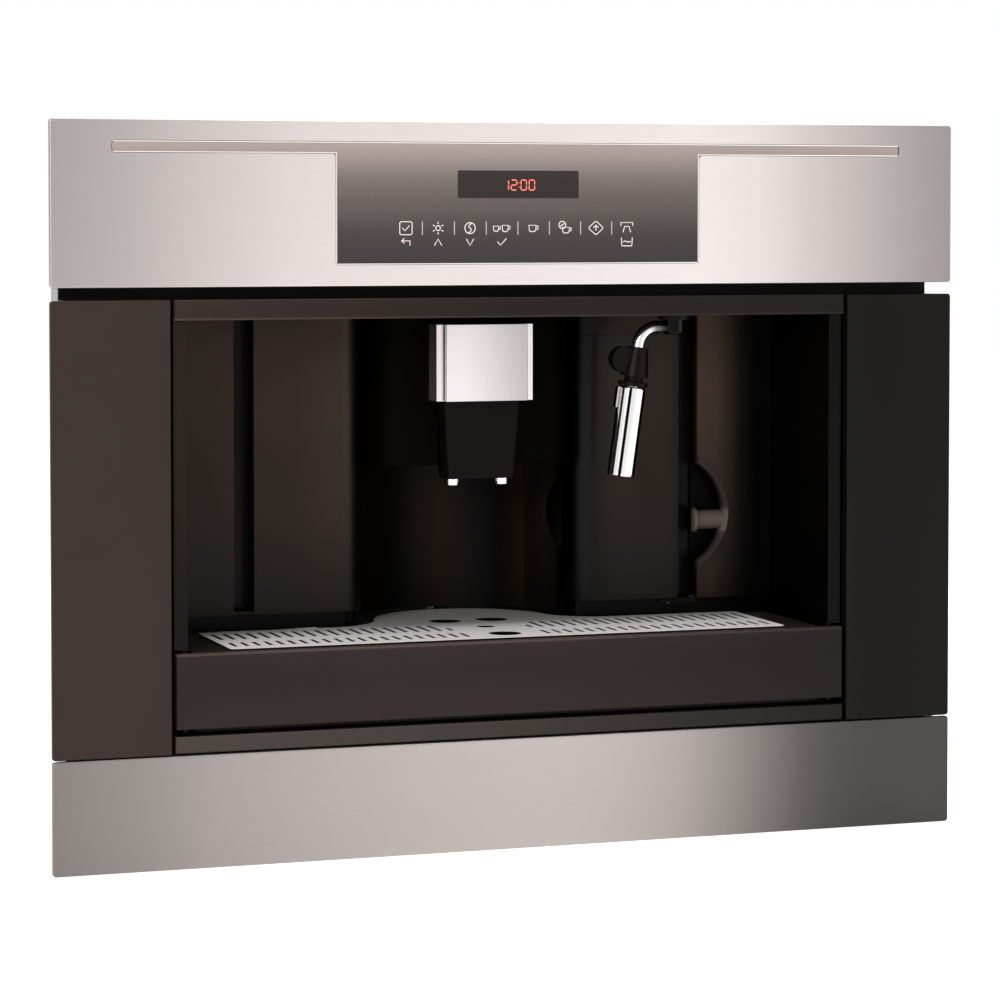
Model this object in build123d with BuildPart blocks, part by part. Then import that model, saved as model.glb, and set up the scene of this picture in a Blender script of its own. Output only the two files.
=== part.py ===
from build123d import *
import math
import os

# Built-in coffee machine. Millimetres, +Z up, +Y into the cabinet, +X to the right as seen from the front.
# The origin is on the cabinet's front edge, at shelf level and half-way across the niche.

# ---- driving dimensions: the front ----
front_width = 594.0
front_height = 455.0
front_depth = 22.0  # front face to the seat on the cabinet
front_drop = 2.5  # how far the front hangs below the shelf
control_height = 101.5
shadow_gap = 7.5  # dark groove under the control panel
bottom_panel_height = 69.3
niche_width = 442.0  # length of the bars over and under the niche
fascia_gap = 2.5
top_bar_height = 12.5
lower_bar_height = 10.0
tray_front_height = 46.0
tray_front_gap = 4.3
trim_gap = 0.7
steel_sheet = 1.2
plastic_wall = 2.5
seat_plate = 2.0
front_edge_round = 1.0
front_corner = 2.0
edge_return = 3.5  # depth of a front piece's outer edge, ahead of its narrower frame
frame_inset = 9.0  # how far that frame stands in from the outer edge
seat_recess = 0.3  # how far the casing's seat lies ahead of the cabinet's seat
run_gap = 0.3  # clearance between pieces that seat in each other

# ---- driving dimensions: control glass ----
strip_length = 518.6
strip_height = 7.0
strip_below_top = 13.0
glass_width = 239.4
glass_height = 75.2
glass_thick = 4.0
glass_recess = 0.3
glass_corner = 2.5
display_width = 84.0
display_height = 20.0
display_below_top = 39.5  # display centre below the front's top edge
key_pitch = 20.8
key_count = 8
key_below_top = 66.0
key_shift = -2.0  # middle of the key row, right of the front's middle

# ---- driving dimensions: the niche ----
liner_half = 212.5  # inner face of the niche's side walls
back_y = 76.0  # face of the back panels, behind the cabinet's front edge
round_radius = 20.0  # rounded ends of the back panels
recess_radius = 70.0
recess_wall_thick = 2.5
slot_inner = 146.0
slot_width = 13.3
slot_depth = 16.0
panel_bottom = 139.2
apron_set_back = 6.0  # apron that closes the gap over the drip tray, behind the back panels' face
apron_bottom = 128.8
recess_bottom = 129.5
jamb_angle = 34.0  # where the door's jamb meets the recess wall

# ---- driving dimensions: service door and grip ----
door_gap = 0.5
door_wall = 2.5
pin_x = 141.0
pin_set_back = 8.0  # door's pin line, behind the back panels' face
pin_radius = 2.0
pin_length = 3.0
fit_gap = 0.08  # running fit of pins and shafts
hand_radius = 42.0
hand_x = 139.5
hand_z = 196.5
grip_rim = 3.6
peg_radius = 6.7
scoop_radius = 25.0

# ---- driving dimensions: coffee spout ----
housing_front = 64.0
housing_bottom = 233.0
housing_half = 68.4
hood_front = 42.5
hood_half = 27.6
hood_bottom = 275.3
hood_height = 49.1
hood_trim_half = 32.6
block_half = 26.3
block_front = 52.0
block_back = 78.0
block_bottom = 224.5
block_top = 289.0
nozzle_x = 16.8
nozzle_y = 65.0
nozzle_radius = 5.0
nozzle_bore = 3.0
nozzle_drop = 4.7

# ---- driving dimensions: steam wand ----
wand_x = 115.0
wand_y = 8.0
wand_z = 323.0
stem_radius = 7.0
tube_radius = 4.0
wand_lean = 8.2  # degrees from the vertical
wand_bend = 13.0
wand_end_z = 229.5
sleeve_radius = 8.8

# ---- driving dimensions: drip tray ----
tray_half = 208.0
tray_floor = 80.2
deck_top = 128.2
tray_wall = 2.2
grid_half = 184.5
grid_front = -13.0
grid_rear = 72.0
grid_thick = 1.2
grid_lift = 0.2
tongue_radius = 60.0
tongue_y = 88.0
tongue_fillet = 38.0
slot_pitch = 7.55
slot_count = 21
slot_first = 27.0
grid_slot = 2.8
cup_hole = 10.5
drain_hole = 6.0
box_x0, box_x1, box_y0, box_y1 = 64.0, 156.0, 84.0, 192.0  # grounds container

# ---- driving dimensions: casing ----
body_half = 228.0
body_depth = 368.0
body_bottom = 44.0
body_below_front = 14.5  # casing's top, below the front's top edge
corner_cut = 11.0  # how far the rear left corner is cut back, clear of the mains lead
corner_run = 53.0

# ---- driving dimensions: brew unit ----
brew_half = 33.0
brew_gap = 3.5  # brew unit's frame to the recess wall
brew_y = 142.0
cup_radius = 20.0  # bore of the brewing chamber
chamber_radius = 25.0
chamber_bottom = 168.0
chamber_height = 52.0
brew_stroke = 38.0
spindle_y = 208.0
spindle_radius = 6.0

# ---- driving dimensions: grinder ----
grinder_x = 60.0
grinder_y = 275.0
grinder_radius = 40.0
burr_radius = 24.0
motor_radius = 30.0
motor_bottom = 208.0
motor_top = 300.0
mill_top = 376.0

# ---- driving dimensions: water ----
tank_x0, tank_x1 = 172.0, 226.0
tank_y0, tank_y1 = 130.0, 334.0
tank_z0, tank_z1 = 80.3, 300.0
tank_wall = 2.5
boiler_radius = 36.0
pump_radius = 21.0

# ---- driving dimensions: telescopic rails ----
rail_x = 206.0
rail_height = 34.0
rail_length = 350.0
rail_sheet = 1.6
rail_gap = 0.35
rail_bottom = 2.0  # thickness of the foot under the fixed member

# ---- worked out from the above ----
front_y = -front_depth
front_half = front_width / 2
front_bottom = -front_drop
front_top = front_bottom + front_height
control_bottom = front_top - control_height
fascia_top = control_bottom - shadow_gap
panel_top = front_bottom + bottom_panel_height
fascia_bottom = panel_top + trim_gap
opening_half = niche_width / 2
fascia_inner = opening_half + fascia_gap
niche_top = fascia_top - top_bar_height
lower_bar_bottom = fascia_bottom + trim_gap
lower_bar_top = lower_bar_bottom + lower_bar_height
tray_front_bottom = lower_bar_top + tray_front_gap
tray_front_top = tray_front_bottom + tray_front_height
shell_depth = front_depth - seat_plate
frame_half = front_half - frame_inset
edge_y = front_y + edge_return
strip_top = front_top - strip_below_top
strip_bottom = strip_top - strip_height
glass_bottom = strip_top - glass_height
glass_back = front_y + glass_recess + glass_thick
display_z = front_top - display_below_top
key_z = front_top - key_below_top
body_top = front_top - body_below_front
recess_y = back_y + round_radius
apron_y = back_y + apron_set_back
pin_y = back_y + pin_set_back
brew_x = recess_radius + recess_wall_thick + brew_gap + brew_half
slot_outer = slot_inner + slot_width
grid_bottom = deck_top + grid_lift
grid_top = grid_bottom + grid_thick


def facing(y):
    """Plane seen from the front at depth y: its x is X and its y is Z."""
    return Plane(origin=(0, y, 0), x_dir=(1, 0, 0), z_dir=(0, -1, 0))


def sideways(x):
    """Plane seen from the right at x: its x is Y and its y is Z."""
    return Plane(origin=(x, 0, 0), x_dir=(0, 1, 0), z_dir=(1, 0, 0))


def level(z):
    """Horizontal plane at height z."""
    return Plane.XY.offset(z)


def rect(x0, x1, y0, y1, mode=Mode.ADD):
    """Rectangle of a sketch, given by its edges."""
    with Locations(((x0 + x1) / 2, (y0 + y1) / 2)):
        Rectangle(abs(x1 - x0), abs(y1 - y0), mode=mode)


def brick(x0, x1, y0, y1, z0, z1, mode=Mode.ADD):
    """Straight rib, lug or window of a part, given by its faces."""
    with Locations(((x0 + x1) / 2, (y0 + y1) / 2, (z0 + z1) / 2)):
        Box(abs(x1 - x0), abs(y1 - y0), abs(z1 - z0), mode=mode)


def post(x, y, z0, z1, radius, mode=Mode.ADD):
    """Upright round boss, pin or bore."""
    with Locations((x, y, (z0 + z1) / 2)):
        Cylinder(radius, abs(z1 - z0), mode=mode)


def stud(x, z, y0, y1, radius, mode=Mode.ADD):
    """Round boss or bore along Y."""
    with Locations(Location((x, (y0 + y1) / 2, z), (90, 0, 0))):
        Cylinder(radius, abs(y1 - y0), mode=mode)


parts = {}

# ======== front ========

with BuildSketch(facing(front_y + glass_recess)) as glass_shape:
    rect(-strip_length / 2, strip_length / 2, strip_bottom, strip_top)
    rect(-glass_width / 2, glass_width / 2, glass_bottom, strip_top)
    fillet(glass_shape.vertices(), glass_corner)

with BuildSketch(facing(front_y)) as glass_seat:
    add(glass_shape.sketch_local)
    offset(amount=run_gap)


def steel_front(z0, z1):
    """Folded steel panel as wide as the front: a hemmed face ahead of a narrower folded frame, open behind."""
    with BuildPart() as panel:
        with BuildSketch(facing(front_y)) as face:
            rect(-front_half, front_half, z0, z1)
            fillet(face.vertices(), front_corner)
        extrude(amount=-edge_return)
        fillet(panel.faces().sort_by(Axis.Y)[0].edges(), front_edge_round)
        brick(-frame_half, frame_half, edge_y, -seat_plate, z0, z1)
        inner = frame_half - steel_sheet
        brick(-inner, inner, front_y + steel_sheet, 1, z0 + steel_sheet, z1 - steel_sheet, Mode.SUBTRACT)
    return panel


# Brushed steel panel over the niche, whose face is cut out for the glass.
with BuildPart() as control_panel:
    add(steel_front(control_bottom, front_top).part)
    extrude(glass_seat.sketch, amount=-2 * steel_sheet, both=True, mode=Mode.SUBTRACT)
parts["control_panel"] = control_panel

# Touch glass with its long shallow strip.
with BuildPart() as control_glass:
    extrude(glass_shape.sketch, amount=-glass_thick)
    chamfer(control_glass.faces().sort_by(Axis.Y)[0].edges(), 0.3)
parts["control_glass"] = control_glass

# Board behind the glass: the display's window block, one sensing spring per key and four stand-offs.
board_y0 = -11.0
board_thick = 1.6
with BuildPart() as display_module:
    with BuildSketch(facing(board_y0)):
        rect(-112, 112, glass_bottom + 4, strip_bottom - 1)
    extrude(amount=-board_thick)
    with BuildSketch(facing(glass_back + run_gap)):
        with Locations((0, display_z)):
            Rectangle(display_width, display_height)
    extrude(amount=-(board_y0 - glass_back - run_gap))
    with BuildSketch(facing(glass_back + run_gap)):
        with Locations((key_shift, key_z)):
            with GridLocations(key_pitch, 1, key_count, 1):
                Circle(3.5)
    extrude(amount=-(board_y0 - glass_back - run_gap))
    for x in (-105, 105):
        for z in (glass_bottom + 10, strip_bottom - 7):
            stud(x, z, board_y0 + board_thick, -seat_plate, 3.5)
parts["display_module"] = display_module


def side_fascia(side):
    """Moulded cover beside the niche, open at its back, with ribs and screw bosses; side is -1 or 1."""
    x_in, x_out = side * fascia_inner, side * front_half
    x_frame, wall = side * frame_half, side * plastic_wall
    with BuildPart() as fascia:
        with BuildSketch(facing(front_y)) as face:
            rect(min(x_in, x_out), max(x_in, x_out), fascia_bottom, fascia_top)
            fillet(face.vertices().filter_by(lambda v: abs(v.X) > fascia_inner + 1), front_corner)
        extrude(amount=-edge_return)
        fillet(fascia.faces().sort_by(Axis.Y)[0].edges(), front_edge_round)
        brick(x_in, x_frame, edge_y, -seat_plate, fascia_bottom, fascia_top)
        z0, z1 = fascia_bottom + plastic_wall, fascia_top - plastic_wall
        brick(x_in + wall, x_frame - wall, front_y + plastic_wall, 1, z0, z1, Mode.SUBTRACT)
        rib_count = 4
        rib_step = (fascia_top - fascia_bottom) / (rib_count + 1)
        inner, outer = x_in + side * 1.0, x_frame - side * 1.0
        for i in range(rib_count):
            z = fascia_bottom + rib_step * (i + 1)
            brick(inner, outer, front_y + 1.0, -8.0, z - 1.0, z + 1.0)
        for z in (fascia_bottom + rib_step / 2, fascia_top - rib_step / 2):
            stud((x_in + x_frame) / 2, z, front_y + 1.0, -seat_plate, 5.0)
            stud((x_in + x_frame) / 2, z, -14.0, -seat_plate, 1.7, Mode.SUBTRACT)
    return fascia


parts["left_fascia"] = side_fascia(-1)
parts["right_fascia"] = side_fascia(1)


def niche_bar(z0, z1, tab_z0, tab_z1):
    """Trim bar across the niche, with a chamfered face and two tabs back to the front plate."""
    with BuildPart() as bar:
        with BuildSketch(facing(front_y)):
            rect(-opening_half, opening_half, z0, z1)
        extrude(amount=-4.6)
        chamfer(bar.faces().sort_by(Axis.Y)[0].edges(), 0.6)
        for x in (-180, 0, 180):
            brick(x - 9, x + 9, front_y + 4.0, -seat_plate, tab_z0, tab_z1)
    return bar


parts["top_bar"] = niche_bar(niche_top, fascia_top, niche_top + 7.6, niche_top + 10.6)
parts["lower_bar"] = niche_bar(lower_bar_bottom, lower_bar_top, lower_bar_bottom + 1.5, lower_bar_bottom + 6.5)

# Brushed steel kick panel, folded all round.
parts["bottom_panel"] = steel_front(front_bottom, panel_top)

# Pressed steel front plate: carries every front piece and seats on the cabinet's front edges.
window_half = liner_half + plastic_wall + 2.5
window_bottom = lower_bar_top + 1.3
window_top = niche_top + 6.5
with BuildPart() as front_subframe:
    with BuildSketch(facing(-seat_plate)) as plate_outline:
        rect(-frame_half, frame_half, front_bottom + 1.0, front_top - 2.0)
        fillet(plate_outline.vertices(), 6)
        rect(-window_half, window_half, window_bottom, window_top, Mode.SUBTRACT)
        rect(-95, 95, glass_bottom + 8, strip_bottom - 8, Mode.SUBTRACT)
        for side in (-1, 1):
            for z in (110, 205, 300):
                with Locations((side * 250, z)):
                    SlotOverall(60, 22, rotation=90, mode=Mode.SUBTRACT)
        with Locations((0, 24)):
            with GridLocations(150, 1, 4, 1):
                SlotOverall(70, 16, mode=Mode.SUBTRACT)
    extrude(amount=-seat_plate)
    seat_half = body_half + 0.5
    brick(-seat_half, seat_half, -seat_recess, 1, body_bottom - 0.5, body_top + 0.5, Mode.SUBTRACT)
parts["front_subframe"] = front_subframe

# ======== niche ========

# Side walls and ceiling of the niche in one moulding, with a rim behind the fascias.
liner_front = -15.0
liner_rear = 92.0
rim_top = niche_top + 5.0
lamp_x, lamp_y = 39.0, 8.0
with BuildPart() as niche_liner:
    with BuildSketch(facing(liner_front)):
        outer = liner_half + plastic_wall
        rect(-outer, outer, tray_floor, niche_top + plastic_wall)
        rect(-liner_half, liner_half, tray_floor, niche_top, Mode.SUBTRACT)
    extrude(amount=-(liner_rear - liner_front))
    with BuildSketch(facing(liner_front - 2.2)):
        rect(-opening_half, opening_half, tray_front_top + 2.0, rim_top)
        rect(-liner_half, liner_half, tray_front_top + 2.0, niche_top, Mode.SUBTRACT)
    extrude(amount=-2.2)
    post(wand_x, wand_y, wand_z + 4.6, niche_top + 0.5, 10.5)
    post(wand_x, wand_y, wand_z, niche_top + 8, stem_radius + fit_gap, Mode.SUBTRACT)
    for side in (-1, 1):
        x = side * lamp_x
        brick(x - 9.3, x + 9.3, lamp_y - 6.3, lamp_y + 6.3, niche_top - 1, niche_top + 4, Mode.SUBTRACT)
    half = housing_half + run_gap
    brick(-half, half, housing_front - run_gap, liner_rear + 1, niche_top - 1, niche_top + 4, Mode.SUBTRACT)
parts["niche_liner"] = niche_liner

# Left back panel: flat face, deep dark groove, flat face and rounded end.
with BuildPart() as left_back_panel:
    with BuildSketch(level(panel_bottom)):
        with BuildLine():
            Polyline(
                (-liner_half + 0.2, back_y),
                (-slot_outer, back_y),
                (-slot_outer, back_y + slot_depth),
                (-slot_inner, back_y + slot_depth),
                (-slot_inner, back_y),
                (-recess_radius - round_radius, back_y),
            )
            CenterArc((-recess_radius - round_radius, recess_y), round_radius, 270, 90)
            offset(amount=plastic_wall, side=Side.LEFT)
        make_face()
    extrude(amount=niche_top - panel_bottom)
    apron_x0, apron_x1 = -liner_half + 0.2, -recess_radius - 14
    brick(apron_x0, apron_x1, back_y + 1.5, apron_y + 2, panel_bottom + 0.2, panel_bottom + 2.2)
    brick(apron_x0, apron_x1, apron_y, apron_y + 2, apron_bottom, panel_bottom + 2.2)
parts["left_back_panel"] = left_back_panel

# Right back panel: frame of the service door, with the header over it, the curved jamb beside it,
# the groove, the flat face with the round hand hole, and the lugs that hold the door's pins.
door_top = niche_top - 15.6
door_bottom = panel_bottom + 0.4
door_right = slot_inner - 0.5
door_round_x = recess_radius + round_radius
lug_gap = 0.3
header_bottom = door_top + lug_gap
sill_top = door_bottom - lug_gap - 0.3
with BuildPart() as right_back_panel:
    with BuildSketch(level(panel_bottom)):
        with BuildLine():
            Polyline(
                (slot_inner + 1.5, back_y + slot_depth),
                (slot_outer, back_y + slot_depth),
                (slot_outer, back_y),
                (liner_half - 0.2, back_y),
            )
            offset(amount=plastic_wall, side=Side.LEFT)
        make_face()
    extrude(amount=niche_top - panel_bottom)
    with BuildSketch(level(header_bottom)):
        with BuildLine():
            CenterArc((door_round_x, recess_y), round_radius, 180, 90)
            Polyline(
                (door_round_x, back_y),
                (door_right, back_y),
                (door_right, back_y + slot_depth),
                (slot_inner + 4, back_y + slot_depth),
            )
            offset(amount=plastic_wall, side=Side.LEFT)
        make_face()
    extrude(amount=niche_top - header_bottom)
    with BuildSketch(level(recess_bottom)):
        with BuildLine():
            CenterArc((0, recess_y), recess_radius, 0.4, jamb_angle - 0.4)
            offset(amount=recess_wall_thick, side=Side.RIGHT)
        make_face()
    extrude(amount=niche_top - recess_bottom)
    with BuildSketch(level(header_bottom)):
        rect(recess_radius, recess_radius + recess_wall_thick, recess_y - 1, recess_y + 2)
    extrude(amount=niche_top - header_bottom)
    with BuildSketch(facing(back_y - 6)):
        with Locations((hand_x, hand_z)):
            Circle(hand_radius)
    extrude(amount=-(slot_depth + 5.9), mode=Mode.SUBTRACT)
    with BuildSketch(sideways(recess_radius - 20)):
        with Locations((recess_y, hand_z)):
            Circle(scoop_radius)
    extrude(amount=30, mode=Mode.SUBTRACT)
    brick(pin_x - 7, door_right, back_y + 1, back_y + slot_depth, header_bottom, header_bottom + 2.7)
    brick(pin_x - 7, slot_outer, back_y + 3, back_y + slot_depth + plastic_wall, sill_top - 2.7, sill_top)
    rear_y = back_y + slot_depth
    brick(slot_inner + 1.5, slot_outer, rear_y, rear_y + plastic_wall, sill_top - 1, panel_bottom + 1)
    brick(recess_radius + 5, liner_half - 0.2, apron_y, apron_y + 2, apron_bottom, sill_top)
    post(pin_x, pin_y, header_bottom - 1, header_bottom + 5, pin_radius + fit_gap, Mode.SUBTRACT)
    post(pin_x, pin_y, sill_top - 4, sill_top + 1, pin_radius + fit_gap, Mode.SUBTRACT)
parts["right_back_panel"] = right_back_panel

# Concave wall of the recess behind the spout.
with BuildPart() as recess_wall:
    with BuildSketch(level(recess_bottom)):
        with BuildLine():
            CenterArc((0, recess_y), recess_radius, jamb_angle + 0.4, 180 - jamb_angle - 0.8)
            offset(amount=recess_wall_thick, side=Side.RIGHT)
        make_face()
    extrude(amount=niche_top - recess_bottom)
parts["recess_wall"] = recess_wall

# Service door: a rounded pan with closed ends and moulded pins.
with BuildPart() as service_door:
    with BuildSketch(level(door_bottom)) as door_outline:
        with BuildLine():
            CenterArc((door_round_x, recess_y), round_radius, 182, 88)
            Polyline((door_round_x, back_y), (door_right, back_y), (door_right, back_y + 14))
            offset(amount=door_wall, side=Side.LEFT)
        make_face()
    extrude(amount=door_top - door_bottom)
    for z in (door_bottom, door_top - 2.0):
        with BuildSketch(level(z)):
            with BuildLine():
                rim = CenterArc((door_round_x, recess_y), round_radius, 182, 88)
                Polyline(
                    (door_round_x, back_y),
                    (door_right, back_y),
                    (door_right, back_y + 14),
                    (door_round_x + 10, back_y + 14),
                    rim @ 0,
                )
            make_face()
        extrude(amount=2.0)
    brick(door_round_x, door_round_x + 2, back_y + 1, back_y + 12, door_bottom, door_top)
    post(pin_x, pin_y, door_top - 1, door_top + pin_length, pin_radius)
    post(pin_x, pin_y, door_bottom - pin_length, door_bottom + 1, pin_radius)
parts["service_door"] = service_door

# Hand hole insert: a crescent pocket with a proud rim and a flanged peg across it.
grip_outer = hand_radius - run_gap
grip_left = slot_outer + run_gap
with BuildPart() as pull_out_grip:
    with BuildSketch(facing(back_y - 1.4)):
        with Locations((hand_x, hand_z)):
            Circle(grip_outer)
        rect(hand_x - 60, grip_left, hand_z - 60, hand_z + 60, Mode.SUBTRACT)
    extrude(amount=-(slot_depth + 1.1))
    with BuildSketch(facing(back_y - 1.4)):
        with Locations((hand_x, hand_z)):
            Circle(grip_outer - grip_rim)
    extrude(amount=-(slot_depth - 0.9), mode=Mode.SUBTRACT)
    peg_end = hand_x + grip_outer - grip_rim + 0.5
    with BuildSketch(sideways(slot_outer - 2.5)):
        with Locations((back_y + 6.5, hand_z - 5.5)):
            Circle(peg_radius)
    extrude(amount=peg_end - slot_outer + 2.5)
    with BuildSketch(sideways(slot_outer - 2.5)):
        with Locations((back_y + 6.5, hand_z - 5.5)):
            Circle(peg_radius + 2.2)
    extrude(amount=2.5)
parts["pull_out_grip"] = pull_out_grip

# Upper housing in the recess, which guides the spout.
with BuildPart() as spout_housing:
    with BuildSketch(level(housing_bottom)):
        with BuildLine():
            nose = 45.0
            Line((-nose, housing_front), (nose, housing_front))
            ThreePointArc((nose, housing_front), (62, 71), (housing_half, recess_y - 4))
            ThreePointArc((housing_half, recess_y - 4), (0, recess_y + housing_half), (-housing_half, recess_y - 4))
            ThreePointArc((-housing_half, recess_y - 4), (-62, 71), (-nose, housing_front))
        make_face()
    extrude(amount=niche_top - housing_bottom)
    channel = block_half + run_gap
    with BuildSketch(level(housing_bottom - 1)):
        rect(-channel, channel, housing_front - 5, block_back + run_gap)
        with Locations((0, 120)):
            Rectangle(70, 50)
    extrude(amount=niche_top - housing_bottom + 2, mode=Mode.SUBTRACT)
    brick(-36, 36, 94, 146, housing_bottom, housing_bottom + 2.5)
parts["spout_housing"] = spout_housing

# Steel hood round the spout: front plate, shadow groove and side trims.
with BuildPart() as spout_hood:
    with BuildSketch(level(hood_bottom)) as hood_plan:
        rect(-hood_half, hood_half, hood_front, hood_front + 2.5)
        rect(-hood_half + 3, hood_half - 3, hood_front, hood_front + 6)
        rect(-hood_trim_half, hood_trim_half, hood_front + 5.2, housing_front)
        rect(-channel, channel, block_front - 1.2, housing_front + 1, Mode.SUBTRACT)
    extrude(amount=hood_height)
    fillet(spout_hood.faces().sort_by(Axis.Y)[0].edges().filter_by(Axis.Z), 0.9)
parts["spout_hood"] = spout_hood

# Sliding nozzle block: a tapered shell, open at the top, that telescopes into the hood.
with BuildPart() as spout_block:
    block_mid = (block_front + block_back) / 2
    block_deep = block_back - block_front
    with BuildSketch(level(block_bottom)) as block_foot:
        with Locations((0, block_mid)):
            RectangleRounded(2 * block_half - 7.0, block_deep - 5.0, 2.5)
    with BuildSketch(level(hood_bottom)) as block_waist:
        with Locations((0, block_mid)):
            RectangleRounded(2 * block_half, block_deep, 2.5)
    loft([block_foot.sketch, block_waist.sketch])
    extrude(block_waist.sketch, amount=block_top - hood_bottom)
    with BuildSketch(level(block_bottom + 2)) as well_foot:
        with Locations((0, block_mid)):
            RectangleRounded(2 * block_half - 10.6, block_deep - 8.8, 1.0)
    with BuildSketch(level(hood_bottom)) as well_waist:
        with Locations((0, block_mid)):
            RectangleRounded(2 * block_half - 4.0, block_deep - 4.0, 1.0)
    loft([well_foot.sketch, well_waist.sketch], mode=Mode.SUBTRACT)
    extrude(well_waist.sketch, amount=block_top - hood_bottom + 1, mode=Mode.SUBTRACT)
    for side in (-1, 1):
        post(side * nozzle_x, nozzle_y, block_bottom - 1, block_bottom + 4, nozzle_radius + fit_gap, Mode.SUBTRACT)
parts["spout_block"] = spout_block

# Two bright nozzle tips, pushed into the block's floor.
with BuildPart() as spout_nozzles:
    for side in (-1, 1):
        tip = block_bottom - nozzle_drop
        post(side * nozzle_x, nozzle_y, tip, block_bottom + 3.5, nozzle_radius)
        post(side * nozzle_x, nozzle_y, tip - 1, block_bottom + 6, nozzle_bore, Mode.SUBTRACT)
    fillet(spout_nozzles.faces().group_by(Axis.Z)[0].edges().sort_by(SortBy.RADIUS)[-2:], 0.8)
parts["spout_nozzles"] = spout_nozzles

# Two lamp lenses in the niche's ceiling.
with BuildPart() as cup_lamps:
    for side in (-1, 1):
        x = side * lamp_x
        brick(x - 9, x + 9, lamp_y - 6, lamp_y + 6, niche_top - 0.6, niche_top + 3.5)
        brick(x - 12, x + 12, lamp_y - 9, lamp_y + 9, niche_top + plastic_wall, niche_top + 6)
parts["cup_lamps"] = cup_lamps

# ======== steam wand ========

lean = math.radians(wand_lean)
bend_x = wand_x - 23.0
wand_down = Vector(-math.sin(lean), 0, -math.cos(lean))


def on_wand(z):
    """Point of the wand's leaning centre line at height z."""
    return Vector(bend_x - (wand_z - z) * math.tan(lean), wand_y, z)


def wand_plane(z):
    """Plane square to the wand's centre line at height z, facing up along it."""
    return Plane(origin=on_wand(z), x_dir=(math.cos(lean), 0, -math.sin(lean)), z_dir=-wand_down)


# Bright tube with the swivel stem that turns in the ceiling's boss.
with BuildPart() as steam_wand:
    with BuildLine() as wand_path:
        FilletPolyline((wand_x, wand_y, wand_z), (bend_x, wand_y, wand_z), on_wand(wand_end_z), radius=wand_bend)
    with BuildSketch(Plane(origin=(wand_x, wand_y, wand_z), z_dir=(-1, 0, 0))):
        Circle(tube_radius)
    sweep()
    post(wand_x, wand_y, wand_z - 5, niche_top + 12, stem_radius)
    fillet(steam_wand.faces().filter_by(Axis.Z).sort_by(Axis.Z)[0].edges(), 2.0)
    post(wand_x, wand_y, niche_top + plastic_wall + 0.3, niche_top + plastic_wall + 2.5, stem_radius + 3)
parts["steam_wand"] = steam_wand

# Black grip on the tube, with a round thumb tab on its left and a neck for the ring below.
collar_z = 285.0
collar_height = 3.0
collar_travel = 3.0
grip_top_z = 310.0
grip_bottom_z = collar_z + collar_height + collar_travel + 0.3
with BuildPart() as wand_grip:
    with BuildSketch(wand_plane(grip_bottom_z)):
        Circle(9.2)
    grip_length = (grip_top_z - grip_bottom_z) / math.cos(lean)
    extrude(amount=grip_length, taper=math.degrees(math.atan(2.6 / grip_length)))
    with BuildSketch(wand_plane(collar_z - 0.2)):
        Circle(6.0)
    extrude(amount=grip_bottom_z - collar_z + 1)
    tab = on_wand(302.5) + Vector(-9.5, 0, 0)
    stud(tab.X, tab.Z, wand_y - 4.2, wand_y + 4.2, 8.2)
    with BuildSketch(wand_plane(collar_z - 2)):
        Circle(tube_radius + 0.05)
    extrude(amount=44, mode=Mode.SUBTRACT)
parts["wand_grip"] = wand_grip

# Sliding ring that opens and closes the air inlet.
with BuildPart() as frother_collar:
    with BuildSketch(wand_plane(collar_z)):
        Circle(9.6)
        Circle(6.1, mode=Mode.SUBTRACT)
    extrude(amount=collar_height)
    chamfer(frother_collar.edges().filter_by(GeomType.CIRCLE).sort_by(SortBy.RADIUS)[-2:], 0.6)
parts["frother_collar"] = frother_collar

# Bright frother sleeve over the tube's end, with its thin air pipe.
with BuildPart() as frother_sleeve:
    sleeve_top_z = collar_z - 0.4
    with BuildSketch(wand_plane(wand_end_z - 2.2)):
        Circle(sleeve_radius)
    extrude(amount=(sleeve_top_z - wand_end_z + 2.2) / math.cos(lean))
    fillet(frother_sleeve.edges().filter_by(GeomType.CIRCLE), 1.6)
    with BuildSketch(wand_plane(wand_end_z - 4)):
        Circle(sleeve_radius - 1.6)
    extrude(amount=38, mode=Mode.SUBTRACT)
    with BuildSketch(wand_plane(wand_end_z + 20)):
        Circle(tube_radius + 0.05)
    extrude(amount=50, mode=Mode.SUBTRACT)
    pipe = wand_plane(sleeve_top_z - 14)
    with BuildSketch(pipe):
        with Locations((-sleeve_radius - 1.0, 0)):
            Circle(1.6)
    extrude(amount=13)
parts["frother_sleeve"] = frother_sleeve

# ======== drip tray and what stands in it ========

# Moulded floor under the tray, with side guides, and the bench that the water tank stands on.
bench_top = tray_floor - run_gap
base_sheet = steel_sheet
base_top = body_bottom + base_sheet
with BuildPart() as lower_housing:
    with BuildSketch(level(base_top)):
        rect(-214, 214, 2.0, 78.0)
        rect(-78, tank_x0, 2.0, 200.0)
        rect(tank_x0 - 6, 224, tank_y0 - 2, tank_y1 + 4)
    extrude(amount=bench_top - base_top)
    offset(amount=-2.4, openings=lower_housing.faces().sort_by(Axis.Z)[0])
    for x in (-140, -70, 0, 70, 140):
        brick(x - 1, x + 1, 4.0, 76.0, base_top, bench_top - 1)
    for side in (-1, 1):
        near, far = side * (tray_half + run_gap), side * (liner_half - 0.4)
        brick(min(near, far), max(near, far), 6.0, 66.0, bench_top - 1, bench_top + 5)
parts["lower_housing"] = lower_housing

with BuildSketch() as tray_shape:
    with BuildLine():
        Polyline(
            (-tray_half, -15.3),
            (tray_half, -15.3),
            (tray_half, 73),
            (box_x1 + 6, 73),
            (box_x1 + 6, box_y1 + 4),
            (box_x0 - 6, box_y1 + 4),
            (box_x0 - 6, 164),
            (-72, 164),
            (-72, 73),
            (-tray_half, 73),
            close=True,
        )
    make_face()
    fillet(tray_shape.vertices(), 5)

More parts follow.
